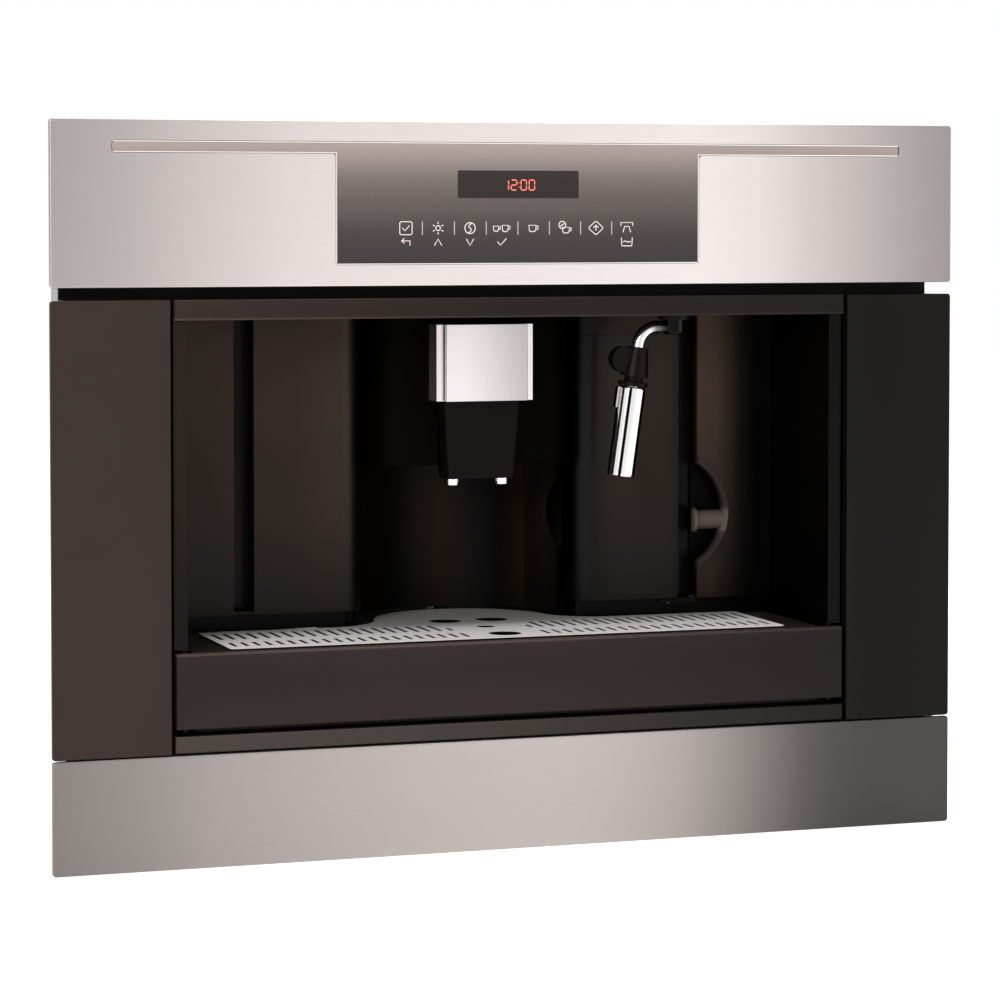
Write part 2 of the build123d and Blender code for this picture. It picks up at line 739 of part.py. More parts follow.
with BuildSketch() as grid_shape:
    rect(-grid_half, grid_half, grid_front, grid_rear)
    with Locations((0, tongue_y)):
        Circle(tongue_radius)
    corners = grid_shape.vertices().filter_by(lambda v: abs(v.Y - grid_rear) < 0.01 and abs(v.X) < grid_half - 1)
    fillet(corners, tongue_fillet)
    outer_corners = grid_shape.vertices().filter_by(lambda v: abs(abs(v.X) - grid_half) < 0.01)
    fillet(outer_corners, 3)

# Drip tray: a deep basin under a flat deck, open under the grid and for the grounds container.
with BuildPart() as drip_tray:
    with BuildSketch(level(tray_floor)):
        add(tray_shape.sketch)
    extrude(amount=deck_top - tray_floor)
    with BuildSketch(level(tray_floor + tray_wall)):
        add(tray_shape.sketch)
        offset(amount=-tray_wall)
    extrude(amount=deck_top - tray_floor - 2 * tray_wall, mode=Mode.SUBTRACT)
    with BuildSketch(level(deck_top - tray_wall - 0.5)):
        add(grid_shape.sketch)
        offset(amount=-4.0)
    extrude(amount=tray_wall + 1, mode=Mode.SUBTRACT)
    brick(box_x0 - 1, box_x1 + 1, box_y0 - 1, box_y1 + 1, deck_top - 5, deck_top + 1, Mode.SUBTRACT)
    for x in (-120, -60, 48):
        brick(x - 1, x + 1, 0.0, 60.0, tray_floor + 1, grid_bottom - grid_lift)
    float_x, float_y = -30.0, 48.0
    post(float_x, float_y, tray_floor + 1, tray_floor + 30, 3.0)
parts["drip_tray"] = drip_tray

# Front of the drip tray.
with BuildPart() as tray_front:
    with BuildSketch(facing(front_y)):
        rect(-opening_half + 0.5, opening_half - 0.5, tray_front_bottom, tray_front_top)
    extrude(amount=-(front_depth - 15.3))
    fillet(tray_front.faces().sort_by(Axis.Y)[0].edges(), 0.8)
    offset(amount=-2.2, openings=tray_front.faces().sort_by(Axis.Y)[-1])
    for x in (-150, -50, 50, 150):
        brick(x - 6, x + 6, front_y + 1.5, -15.3, tray_front_bottom + 10, tray_front_bottom + 34)
parts["tray_front"] = tray_front

# Cup grid: pressed plate with a round tongue, two rows of slots on each side, and drain holes.
with BuildPart() as drip_grid:
    with BuildSketch(level(grid_bottom)):
        add(grid_shape.sketch)
        for i in range(slot_count):
            rear_end = 62.5 if i else 46.0
            for side in (-1, 1):
                x = side * (slot_first + slot_pitch * i)
                rect(x - grid_slot / 2, x + grid_slot / 2, 32.5, rear_end, Mode.SUBTRACT)
                rect(x - grid_slot / 2, x + grid_slot / 2, -1.6, 18.1, Mode.SUBTRACT)
        with Locations((-16, 82), (16, 82), (0, 8)):
            Circle(cup_hole, mode=Mode.SUBTRACT)
        with Locations((0, 46)):
            Circle(drain_hole, mode=Mode.SUBTRACT)
    extrude(amount=grid_thick)
parts["drip_grid"] = drip_grid

# Red float that rises on its post when the tray is full.
with BuildPart() as tray_float:
    post(float_x, float_y, tray_floor + tray_wall + 0.3, tray_floor + 22, 8.0)
    fillet(tray_float.edges().filter_by(GeomType.CIRCLE), 1.5)
    post(float_x, float_y, tray_floor, tray_floor + 40, 3.0 + fit_gap, Mode.SUBTRACT)
parts["tray_float"] = tray_float

# Container for the used coffee grounds, standing in the tray's bay.
with BuildPart() as grounds_container:
    with BuildSketch(level(tray_floor + tray_wall + 0.1)) as container_foot:
        with Locations(((box_x0 + box_x1) / 2, (box_y0 + box_y1) / 2)):
            RectangleRounded(box_x1 - box_x0 - 6, box_y1 - box_y0 - 6, 8)
    with BuildSketch(level(127.4)) as container_mouth:
        with Locations(((box_x0 + box_x1) / 2, (box_y0 + box_y1) / 2)):
            RectangleRounded(box_x1 - box_x0, box_y1 - box_y0, 8)
    loft([container_foot.sketch, container_mouth.sketch])
    offset(amount=-1.8, openings=grounds_container.faces().sort_by(Axis.Z)[-1])
parts["grounds_container"] = grounds_container

# ======== brew unit ========

head_z = chamber_bottom + chamber_height + brew_stroke + 1.0
frame_x0, frame_x1 = brew_x - brew_half, brew_x + brew_half
frame_bottom = 142.0
frame_top = head_z + 34.0
# Frame: two ribbed cheeks on a base, with the fixed upper piston hanging from the bridge.
with BuildPart() as brew_unit_frame:
    for x0 in (frame_x0, frame_x1 - 3):
        with BuildSketch(sideways(x0)) as cheek:
            rect(brew_y - 34, spindle_y + 14, frame_bottom, frame_top)
            fillet(cheek.vertices(), 6)
            with Locations((brew_y, frame_bottom + 78)):
                SlotOverall(96, 9, rotation=90, mode=Mode.SUBTRACT)
            with Locations((brew_y + 42, frame_bottom + 78)):
                SlotOverall(70, 22, rotation=90, mode=Mode.SUBTRACT)
        extrude(amount=3)
    brick(frame_x0 + 2, frame_x1 - 2, brew_y - 30, spindle_y + 12, frame_bottom, frame_bottom + 4)
    brick(frame_x0 + 2, frame_x1 - 2, brew_y - 30, spindle_y + 12, frame_top - 5, frame_top)
    post(brew_x, brew_y, head_z - 13, frame_top - 2, cup_radius - 0.6)
    post(brew_x, brew_y, head_z + 12, frame_top - 2, cup_radius + 3)
    brick(brew_x - 16, brew_x + 16, brew_y + 24, brew_y + 40, frame_top - 6, frame_top + 1, Mode.SUBTRACT)
    post(brew_x, spindle_y, frame_bottom - 1, frame_bottom + 5, spindle_radius + fit_gap, Mode.SUBTRACT)
    post(brew_x, spindle_y, frame_top - 6, frame_top + 1, spindle_radius + fit_gap, Mode.SUBTRACT)
parts["brew_unit_frame"] = brew_unit_frame

# Brewing chamber: a cylinder with guide pegs in the cheeks' slots and an arm round the spindle.
with BuildPart() as brew_chamber:
    post(brew_x, brew_y, chamber_bottom, chamber_bottom + chamber_height, chamber_radius)
    arm_z = chamber_bottom + 12
    brick(brew_x - 9, brew_x + 9, brew_y + 18, spindle_y, arm_z, arm_z + 14)
    post(brew_x, spindle_y, arm_z, arm_z + 14, 11)
    with Locations(Location((brew_x, brew_y, arm_z + 22), (0, 90, 0))):
        Cylinder(4.2, frame_x1 - frame_x0 - 1)
    post(brew_x, brew_y, chamber_bottom - 1, chamber_bottom + chamber_height + 1, cup_radius, Mode.SUBTRACT)
    post(brew_x, spindle_y, arm_z - 1, arm_z + 15, spindle_radius + fit_gap, Mode.SUBTRACT)
parts["brew_chamber"] = brew_chamber

# Lower piston with its seal groove, which presses the coffee and throws the puck out.
with BuildPart() as brew_piston:
    post(brew_x, brew_y, chamber_bottom + 6, chamber_bottom + 18, cup_radius - fit_gap)
    post(brew_x, brew_y, frame_bottom + 4.3, chamber_bottom + 8, 7.0)
    with BuildSketch(level(chamber_bottom + 11)):
        with Locations((brew_x, brew_y)):
            Circle(cup_radius + 1)
            Circle(cup_radius - 1.6, mode=Mode.SUBTRACT)
    extrude(amount=2.4, mode=Mode.SUBTRACT)
parts["brew_piston"] = brew_piston

# Drive spindle with a squared lower end.
with BuildPart() as brew_spindle:
    post(brew_x, spindle_y, frame_bottom - 12, frame_top + 3, spindle_radius)
    post(brew_x, spindle_y, frame_bottom + 4.3, frame_bottom + 9, spindle_radius + 4)
    with BuildSketch(level(frame_bottom - 14)):
        with Locations((brew_x, spindle_y)):
            Circle(spindle_radius + 1)
            Rectangle(8.2, 8.2, mode=Mode.SUBTRACT)
    extrude(amount=11, mode=Mode.SUBTRACT)
parts["brew_spindle"] = brew_spindle

# Gear motor under the spindle.
with BuildPart() as brew_motor:
    with BuildSketch(level(96)) as motor_box:
        with Locations((brew_x - 4, spindle_y + 16)):
            RectangleRounded(58, 50, 8)
    extrude(amount=30)
    post(brew_x, spindle_y, 125, frame_bottom - 12.5, 10)
    post(brew_x - 10, spindle_y + 24, base_top, 97, 19)
parts["brew_motor"] = brew_motor

# ======== grinder ========

# Mill body on top of its motor, with the outlet towards the chute.
with BuildPart() as grinder_housing:
    post(grinder_x, grinder_y, motor_top, mill_top, grinder_radius)
    fillet(grinder_housing.edges().filter_by(GeomType.CIRCLE), 3)
    post(grinder_x, grinder_y, motor_top + 6, mill_top + 1, burr_radius + 8, Mode.SUBTRACT)
    post(grinder_x, grinder_y, motor_top - 1, motor_top + 8, 5.0 + fit_gap, Mode.SUBTRACT)
    for angle in (30, 150, 270):
        a = math.radians(angle)
        x = grinder_x + (grinder_radius + 2) * math.cos(a)
        y = grinder_y + (grinder_radius + 2) * math.sin(a)
        post(x, y, motor_top + 4, motor_top + 16, 6)
    with BuildSketch(sideways(grinder_x + 15)):
        rect(grinder_y - 62, grinder_y - 30, motor_top + 18, motor_top + 40)
    extrude(amount=18)
    with BuildSketch(sideways(grinder_x + 17)):
        rect(grinder_y - 63, grinder_y - 26, motor_top + 20, motor_top + 38)
    extrude(amount=14, mode=Mode.SUBTRACT)
parts["grinder_housing"] = grinder_housing

# Fixed ring burr in its carrier.
with BuildPart() as upper_burr:
    post(grinder_x, grinder_y, 340, 352, burr_radius + 7.6)
    post(grinder_x, grinder_y, 352, 364, burr_radius + 4)
    with BuildSketch(level(339)) as cone_low:
        with Locations((grinder_x, grinder_y)):
            Circle(burr_radius)
    with BuildSketch(level(365)) as cone_high:
        with Locations((grinder_x, grinder_y)):
            Circle(14)
    loft([cone_low.sketch, cone_high.sketch], mode=Mode.SUBTRACT)
parts["upper_burr"] = upper_burr

# Turning cone burr on the gear shaft.
flute_count = 8
with BuildPart() as lower_burr:
    with BuildSketch(level(336)):
        with Locations((grinder_x, grinder_y)):
            Circle(burr_radius - 2.0)
    extrude(amount=26, taper=math.degrees(math.atan(12 / 26)))
    with BuildSketch(level(335)):
        with Locations((grinder_x, grinder_y)):
            with PolarLocations(burr_radius - 1.5, flute_count):
                Circle(2.2)
    extrude(amount=14, mode=Mode.SUBTRACT)
    post(grinder_x, grinder_y, motor_top + 0.4, 337, 5.0)
    post(grinder_x, grinder_y, motor_top + 9, motor_top + 12, burr_radius + 4)
parts["lower_burr"] = lower_burr

# Motor and gearbox under the mill, on a bracket to the base.
with BuildPart() as grinder_motor:
    post(grinder_x, grinder_y, motor_bottom, motor_top - 22, motor_radius)
    post(grinder_x, grinder_y, motor_top - 22, motor_top, motor_radius + 6)
    fillet(grinder_motor.faces().sort_by(Axis.Z)[0].edges(), 4)
    for dx in (-24, 24):
        with BuildSketch(sideways(grinder_x + dx)):
            rect(grinder_y - 8, grinder_y + 8, base_top, motor_bottom + 12)
        extrude(amount=3)
    brick(grinder_x - 32, grinder_x + 32, grinder_y - 12, grinder_y + 12, base_top, base_top + 2)
parts["grinder_motor"] = grinder_motor

# Bean hopper: a tapering bin with a throat into the mill.
hop_x0, hop_x1, hop_y0, hop_y1 = -20.0, 140.0, 222.0, 348.0
lid_seat = body_top + 0.2
with BuildPart() as bean_hopper:
    with BuildSketch(level(mill_top + 3)) as hopper_low:
        with Locations((grinder_x, grinder_y)):
            RectangleRounded(60, 60, 20)
    with BuildSketch(level(body_top - 20)) as hopper_high:
        with Locations(((hop_x0 + hop_x1) / 2, (hop_y0 + hop_y1) / 2)):
            RectangleRounded(hop_x1 - hop_x0, hop_y1 - hop_y0, 16)
    loft([hopper_low.sketch, hopper_high.sketch])
    extrude(hopper_high.sketch, amount=20)
    offset(amount=-2.0, openings=bean_hopper.faces().sort_by(Axis.Z)[-1])
    post(grinder_x, grinder_y, 366, mill_top + 5, 18)
    post(grinder_x, grinder_y, 365, mill_top + 8, 15.5, Mode.SUBTRACT)
parts["bean_hopper"] = bean_hopper


def top_lid(x0, x1, y0, y1, hinge_x):
    """Flat lid over an opening in the top cover, turning on a rear pin line, with a finger lip in front."""
    with BuildPart() as lid:
        with BuildSketch(level(lid_seat + 0.2)) as lid_plan:
            rect(x0, x1, y0, y1)
            fillet(lid_plan.vertices(), 6)
        extrude(amount=3.0)
        fillet(lid.faces().sort_by(Axis.Z)[-1].edges(), 1.0)
        brick(hinge_x - 14, hinge_x + 14, y0 - 5, y0 + 2, lid_seat + 0.4, lid_seat + 2.2)
    return lid


parts["hopper_lid"] = top_lid(hop_x0 - 3, hop_x1 + 3, hop_y0 - 3, hop_y1 + 3, (hop_x0 + hop_x1) / 2)

# Ribbed knob that sets how fine the mill grinds, on its shaft.
knob_x, knob_y = -48.0, 275.0
knob_foot = niche_top + 21
with BuildPart() as grind_knob:
    post(knob_x, knob_y, body_top + 0.4, body_top + 11, 13)
    fillet(grind_knob.faces().sort_by(Axis.Z)[-1].edges(), 1.5)
    with BuildSketch(level(body_top + 2)):
        with Locations((knob_x, knob_y)):
            with PolarLocations(13.6, 12):
                Circle(1.6)
    extrude(amount=12, mode=Mode.SUBTRACT)
    post(knob_x, knob_y, knob_foot, body_top + 2, 4)
    post(knob_x, knob_y, knob_foot, knob_foot + 6, 14)
parts["grind_knob"] = grind_knob

# Chute for ready-ground coffee, from the top cover down to the brewing chamber.
chute_x, chute_y = 112.0, 184.0
with BuildPart() as ground_chute:
    with BuildSketch(level(frame_top + 2)) as chute_low:
        with Locations((brew_x, brew_y + 30)):
            RectangleRounded(34, 24, 5)
    with BuildSketch(level(body_top - 24)) as chute_high:
        with Locations((chute_x, chute_y)):
            RectangleRounded(52, 40, 6)
    loft([chute_low.sketch, chute_high.sketch])
    extrude(chute_high.sketch, amount=24)
    with BuildSketch(level(frame_top + 1)) as bore_low:
        with Locations((brew_x, brew_y + 30)):
            RectangleRounded(30, 20, 4)
    with BuildSketch(level(body_top - 24)) as bore_high:
        with Locations((chute_x, chute_y)):
            RectangleRounded(48, 36, 5)
    loft([bore_low.sketch, bore_high.sketch], mode=Mode.SUBTRACT)
    extrude(bore_high.sketch, amount=25, mode=Mode.SUBTRACT)
parts["ground_chute"] = ground_chute

parts["preground_lid"] = top_lid(chute_x - 30, chute_x + 30, chute_y - 24, chute_y + 24, chute_x)

# ======== water ========

# Water tank: a clear bin with a pull recess in its outer side.
with BuildPart() as water_tank:
    with BuildSketch(level(tank_z0)) as tank_plan:
        rect(tank_x0, tank_x1, tank_y0, tank_y1)
        fillet(tank_plan.vertices(), 8)
    extrude(amount=tank_z1 - tank_z0)
    offset(amount=-tank_wall, openings=water_tank.faces().sort_by(Axis.Z)[-1])
    grip_y = (tank_y0 + tank_y1) / 2
    brick(tank_x1 - 14, tank_x1 - 0.5, grip_y - 34, grip_y + 34, 225, 252)
    brick(tank_x1 - 11.5, tank_x1 + 1, grip_y - 31, grip_y + 31, 228, 249, Mode.SUBTRACT)
    for y in (tank_y0 + 50, tank_y1 - 50):
        brick(tank_x0 + 1, tank_x0 + 5, y - 1, y + 1, tank_z0 + 1, tank_z1 - 20)
parts["water_tank"] = water_tank

with BuildPart() as tank_lid:
    with BuildSketch(level(tank_z1 + 0.3)) as tank_lid_plan:
        rect(tank_x0, tank_x1, tank_y0, tank_y1)
        fillet(tank_lid_plan.vertices(), 8)
    extrude(amount=2.6)
    with BuildSketch(level(tank_z1 - 3)):
        with Locations(((tank_x0 + tank_x1) / 2, (tank_y0 + tank_y1) / 2)):
            RectangleRounded(tank_x1 - tank_x0 - 2 * tank_wall - 2, tank_y1 - tank_y0 - 2 * tank_wall - 2, 5)
            RectangleRounded(tank_x1 - tank_x0 - 2 * tank_wall - 6, tank_y1 - tank_y0 - 2 * tank_wall - 6, 4, mode=Mode.SUBTRACT)
    extrude(amount=4)
parts["tank_lid"] = tank_lid

# Vibration pump: coil block on a bracket, with its two nipples.
pump_x, pump_y, pump_z = -60.0, 322.0, base_top + 34
with BuildPart() as pump:
    with Locations(Location((pump_x, pump_y, pump_z), (0, 90, 0))):
        Cylinder(pump_radius - 7, 104)
        Cylinder(4.0, 128)
    brick(pump_x - 30, pump_x + 22, pump_y - pump_radius, pump_y + pump_radius, pump_z - 21, pump_z + 21)
    fillet(pump.edges().filter_by(Axis.X).group_by(SortBy.LENGTH)[-1], 3)
    for dx in (-44, 36):
        brick(pump_x + dx, pump_x + dx + 4, pump_y - 16, pump_y + 16, base_top, pump_z + 8)
    brick(pump_x - 44, pump_x + 40, pump_y - 16, pump_y + 16, base_top, base_top + 2)
parts["pump"] = pump

# Coffee and steam boilers: flanged cylinders on three legs each.
boiler_x = -165.0
boiler_ys = (165.0, 275.0)
boiler_z0, boiler_z1 = 110.0, 215.0
with BuildPart() as boilers:
    for y in boiler_ys:
        post(boiler_x, y, boiler_z0, boiler_z1, boiler_radius)
        post(boiler_x, y, boiler_z0 + 46, boiler_z0 + 54, boiler_radius + 6)
        for i in range(3):
            a = math.radians(30 + 120 * i)
            post(boiler_x + 26 * math.cos(a), y + 26 * math.sin(a), base_top, boiler_z0 + 1, 4)
        post(boiler_x, y, boiler_z1 - 1, boiler_z1 + 12, 5)
    fillet(boilers.faces().filter_by(Axis.Z).group_by(Axis.Z)[-2].edges().filter_by(GeomType.CIRCLE).group_by(SortBy.RADIUS)[-1], 5)
parts["boilers"] = boilers

# Hoses: tank to pump, pump to boiler, boilers to the brew unit and to the wand, brew unit to the spout.
hose_radius = 3.0
hose_gap = 0.3
brew_hose_z = niche_top + 14
wand_hose_z = niche_top + 23
spout_hose_z = niche_top + 7
nipple_top = boiler_z1 + 12 + hose_gap
near_boiler, far_boiler = boiler_ys
hose_runs = (
    ((pump_x + 64 + hose_gap, pump_y, pump_z), (30, pump_y, pump_z), (30, pump_y, 60), (tank_x0 - 6 - hose_gap, pump_y, 60)),
    (
        (pump_x - 64 - hose_gap, pump_y, pump_z),
        (boiler_x, pump_y, pump_z),
        (boiler_x, far_boiler, pump_z),
        (boiler_x, far_boiler, boiler_z0 - hose_gap),
    ),
    (
        (boiler_x, far_boiler, nipple_top),
        (boiler_x, far_boiler, brew_hose_z),
        (-20, far_boiler, brew_hose_z),
        (-20, brew_y, brew_hose_z),
        (brew_x, brew_y, brew_hose_z),
        (brew_x, brew_y, frame_top + hose_gap),
    ),
    (
        (boiler_x, near_boiler, nipple_top),
        (boiler_x, near_boiler, wand_hose_z),
        (boiler_x, 40, wand_hose_z),
        (wand_x, 40, wand_hose_z),
        (wand_x, wand_y, wand_hose_z),
        (wand_x, wand_y, niche_top + 12 + hose_gap),
    ),
    (
        (brew_x - 14, brew_y - 24, frame_top + hose_gap),
        (brew_x - 14, brew_y - 24, spout_hose_z),
        (0, brew_y - 24, spout_hose_z),
        (0, 87, spout_hose_z),
        (0, 87, niche_top + hose_gap),
    ),
)
with BuildPart() as hoses:
    for run in hose_runs:
        with BuildLine() as hose_line:
            FilletPolyline(*run, radius=6)
        with BuildSketch(Plane(origin=hose_line.line @ 0, z_dir=hose_line.line % 0)):
            Circle(hose_radius)
            Circle(hose_radius - 1.0, mode=Mode.SUBTRACT)
        sweep()
parts["hoses"] = hoses

# ======== electrics ========

# Power board on the left side, with its larger parts.
with BuildPart() as power_board:
    face_x = -(body_half - steel_sheet) + 8
    brick(face_x, face_x + 1.6, 120, 330, 250, 400)
    brick(face_x + 1, face_x + 26, 140, 175, 270, 310)
    brick(face_x + 1, face_x + 18, 200, 214, 260, 285)
    brick(face_x + 1, face_x + 18, 230, 244, 260, 285)
    for y in (270, 300):
        with Locations(Location((face_x + 12, y, 350), (0, 90, 0))):
            Cylinder(9, 22)
    for y in (128, 304):
        for z in (258, 392):
            with Locations(Location((face_x - 4, y, z), (0, 90, 0))):
                Cylinder(4, 8)
parts["power_board"] = power_board

inlet_x, inlet_z = -150.0, 92.0
switch_x = -95.0
rear_inner = body_depth - steel_sheet
# Appliance inlet with its shroud and three flat pins.
with BuildPart() as mains_inlet:
    brick(inlet_x - 25, inlet_x + 25, body_depth, body_depth + 3, inlet_z - 15, inlet_z + 15)
    brick(inlet_x - 14, inlet_x + 14, rear_inner - 24, body_depth + 1, inlet_z - 11, inlet_z + 11)
    brick(inlet_x - 12, inlet_x + 12, rear_inner - 20, body_depth + 4, inlet_z - 9, inlet_z + 9, Mode.SUBTRACT)
    for dx, dz in ((-7, -2), (0, 3), (7, -2)):
        brick(inlet_x + dx - 1, inlet_x + dx + 1, rear_inner - 22, body_depth - 3, inlet_z + dz - 2, inlet_z + dz + 2)
parts["mains_inlet"] = mains_inlet

# Rocker of the mains switch.
rocker_y = body_depth - 2.0
with BuildPart() as mains_switch:
    with BuildSketch(sideways(switch_x - 6)):
        with BuildLine():
            Polyline(
                (rocker_y - 6, inlet_z - 9),
                (body_depth + 4.5, inlet_z - 9),
                (body_depth + 1.5, inlet_z),
                (body_depth + 1.5, inlet_z + 9),
                (rocker_y - 6, inlet_z + 9),
                close=True,
            )
        make_face()
    extrude(amount=12)
    with Locations(Location((switch_x, rocker_y - 2, inlet_z), (0, 90, 0))):
        Cylinder(1.5, 16)
parts["mains_switch"] = mains_switch

# ======== casing ========

inner_half = body_half - steel_sheet
bend_y = body_depth - corner_run


def casing_plan(z, inset):
    """Outline of the casing from above, inset at its sides and rear, with its rear left corner cut back."""
    half, rear = body_half - inset, body_depth - inset
    with BuildSketch(level(z)) as plan:
        with BuildLine():
            Polyline((-half, 0), (half, 0), (half, rear), (corner_cut - half, rear), (-half, bend_y), close=True)
        make_face()
    return plan.sketch


# Base pan: folded sheet with flanges and vent slots.
with BuildPart() as base_pan:
    add(casing_plan(body_bottom, steel_sheet))
    extrude(amount=22)
    offset(amount=-steel_sheet, openings=base_pan.faces().sort_by(Axis.Z)[-1])
    with BuildSketch(level(body_bottom - 1)):
        with Locations((0, 345)):
            with GridLocations(40, 1, 8, 1):
                SlotOverall(28, 5)
    extrude(amount=4, mode=Mode.SUBTRACT)
parts["base_pan"] = base_pan


def side_panel(side):
    """Sheet side wall with vent slots; on the right it is cut out for the water tank."""
    x = side * body_half
    with BuildPart() as panel:
        with BuildSketch(sideways(min(x, x - side * steel_sheet))):
            rect(0, bend_y if side < 0 else body_depth, body_bottom, body_top - steel_sheet)
            with Locations((225, body_top - 40)):
                with GridLocations(12, 1, 14, 1):
                    SlotOverall(30, 5, rotation=90, mode=Mode.SUBTRACT)
            if side > 0:
                rect(tank_y0 - 4, tank_y1 + 4, tank_z0 - 0.3, tank_z1 + 6, Mode.SUBTRACT)
        extrude(amount=steel_sheet)
        flange_in = x - side * (steel_sheet + 9)
        x0, x1 = min(x - side * 0.5, flange_in), max(x - side * 0.5, flange_in)
        brick(x0, x1, 0, steel_sheet, body_bottom + 24, body_top - steel_sheet)
        if side < 0:
            with BuildSketch(level(body_bottom)):
                with BuildLine():
                    Polyline(
                        (-body_half, bend_y),
                        (-inner_half, bend_y),
                        (corner_cut - inner_half, body_depth),
                        (corner_cut - body_half, body_depth),
                        close=True,
                    )
                make_face()
            extrude(amount=body_top - steel_sheet - body_bottom)
    return panel


parts["left_side_panel"] = side_panel(-1)
parts["right_side_panel"] = side_panel(1)

# Rear panel with rows of vents and the openings for inlet and switch.
with BuildPart() as rear_panel:
    with BuildSketch(facing(rear_inner)):
        rect(corner_cut - inner_half, inner_half, body_bottom, body_top - steel_sheet)
        with Locations((60, 330)):
            with GridLocations(34, 14, 6, 5):
                SlotOverall(28, 5, mode=Mode.SUBTRACT)
        with Locations((60, 110)):
            with GridLocations(34, 14, 6, 3):
                SlotOverall(28, 5, mode=Mode.SUBTRACT)
        rect(inlet_x - 14.2, inlet_x + 14.2, inlet_z - 11.2, inlet_z + 11.2, Mode.SUBTRACT)
        rect(switch_x - 6.5, switch_x + 6.5, inlet_z - 11, inlet_z + 11, Mode.SUBTRACT)
    extrude(amount=-steel_sheet)
    for side in (-1, 1):
        x0 = switch_x + side * 6.5
        brick(x0, x0 + side * 1.5, rear_inner - 12, rear_inner + 0.5, inlet_z - 11, inlet_z + 11)
        with Locations(Location((switch_x, rocker_y - 2, inlet_z), (0, 90, 0))):
            Cylinder(1.5 + fit_gap, 17, mode=Mode.SUBTRACT)
parts["rear_panel"] = rear_panel

# Top cover with the openings for beans, ready-ground coffee and the grind knob.
with BuildPart() as top_cover:
    with BuildSketch(level(body_top - steel_sheet)):
        add(casing_plan(0, 0))
        with Locations(((hop_x0 + hop_x1) / 2, (hop_y0 + hop_y1) / 2)):
            RectangleRounded(hop_x1 - hop_x0 + 0.6, hop_y1 - hop_y0 + 0.6, 16, mode=Mode.SUBTRACT)
        with Locations((chute_x, chute_y)):
            RectangleRounded(52.6, 40.6, 6, mode=Mode.SUBTRACT)
        with Locations((knob_x, knob_y)):
            Circle(4 + fit_gap, mode=Mode.SUBTRACT)
        with Locations((-150, 250)):
            with GridLocations(1, 12, 1, 12):
                SlotOverall(60, 5, mode=Mode.SUBTRACT)
    extrude(amount=steel_sheet)
parts["top_cover"] = top_cover

# ======== telescopic rails ========

rail_top = rail_bottom + rail_height


def rail_member(inset, toward, z0, z1, y0, length):
    """Pair of channel sections; inset is the web's distance from the fixed member's web."""
    with BuildPart() as member:
        with BuildSketch(facing(y0)):
            for side in (-1, 1):
                web = side * (rail_x + 11 - inset)
                tip = side * (rail_x + 11 - inset - toward)
                rect(min(web, tip), max(web, tip), z0, z1)
                inner = web - side * rail_sheet
                far = tip - side * 5
                rect(min(inner, far), max(inner, far), z0 + rail_sheet, z1 - rail_sheet, Mode.SUBTRACT)
        extrude(amount=-length)
    return member


rail_y0 = 8.0
step = rail_sheet + rail_gap
fixed_rails = rail_member(0, 12, rail_bottom, rail_top, rail_y0, rail_length)
# Feet of the fixed members, with the screw holes for the cabinet's shelf.
with BuildPart() as rail_feet:
    add(fixed_rails.part)
    for side in (-1, 1):
        near, far = side * (rail_x - 12), side * (rail_x + 11)
        brick(min(near, far), max(near, far), rail_y0, rail_y0 + rail_length, 0, rail_bottom)
        for y in (40, 180, 320):
            post(side * (rail_x - 6.5), y, -1, rail_bottom + 1, 2.25, Mode.SUBTRACT)
parts["fixed_rails"] = rail_feet
parts["mid_rails"] = rail_member(step, 10.5, rail_bottom + step, rail_top - step, rail_y0, rail_length - 4)
slide = rail_member(2 * step, 9, rail_bottom + 2 * step, rail_top - 2 * step, rail_y0, rail_length - 8)
# Moving members, with brackets up to the base pan.
with BuildPart() as slide_rails:
    add(slide.part)
    for side in (-1, 1):
        web = side * (rail_x + 11 - 2 * step - rail_sheet)
        inner = side * (rail_x - 8)
        outer = inner - side * 2
        for y in (60, 200, 310):
            brick(min(web, outer), max(web, outer), y, y + 30, 14, 16)
            brick(min(inner, outer), max(inner, outer), y, y + 30, 14, body_bottom)
parts["slide_rails"] = slide_rails

os.makedirs("parts", exist_ok=True)
for name, piece in parts.items():
    piece.part.label = name
    export_step(piece.part, f"parts/{name}.step")
print(len(parts), "parts written")
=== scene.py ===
"""Looks of the built-in coffee machine: its camera and studio, its finishes and its small fitted pieces."""

import logging
import math
from dataclasses import dataclass
from enum import Enum
from typing import Any, Callable, Iterable, Sequence

import bmesh
import bpy
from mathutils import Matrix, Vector


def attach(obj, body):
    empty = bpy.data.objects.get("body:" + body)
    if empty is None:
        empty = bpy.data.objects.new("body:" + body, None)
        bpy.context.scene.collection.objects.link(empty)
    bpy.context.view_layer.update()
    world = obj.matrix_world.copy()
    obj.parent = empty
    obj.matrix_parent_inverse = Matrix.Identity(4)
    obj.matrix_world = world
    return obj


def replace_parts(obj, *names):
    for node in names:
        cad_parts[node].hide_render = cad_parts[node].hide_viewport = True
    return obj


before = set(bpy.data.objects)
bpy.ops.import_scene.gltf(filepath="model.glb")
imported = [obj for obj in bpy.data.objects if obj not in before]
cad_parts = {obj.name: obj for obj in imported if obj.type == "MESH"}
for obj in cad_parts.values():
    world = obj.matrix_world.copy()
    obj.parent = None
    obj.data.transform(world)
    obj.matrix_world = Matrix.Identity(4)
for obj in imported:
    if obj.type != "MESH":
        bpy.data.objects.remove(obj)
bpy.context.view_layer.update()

log = logging.getLogger("coffee_machine")

MM = 0.001
QUARTER_TURN = math.pi / 2
SHARP = math.radians(35.0)  # edges sharper than this stay sharp
ORIGIN = (0.0, 0.0, 0.0)

Colour = tuple[float, float, float]
Point = tuple[float, float, float]
Flat = tuple[float, float]
Test = Callable[[Vector, Vector], bool]


def mm(*values: float) -> tuple[float, ...]:
    """Millimetres as metres."""
    return tuple(value * MM for value in values)


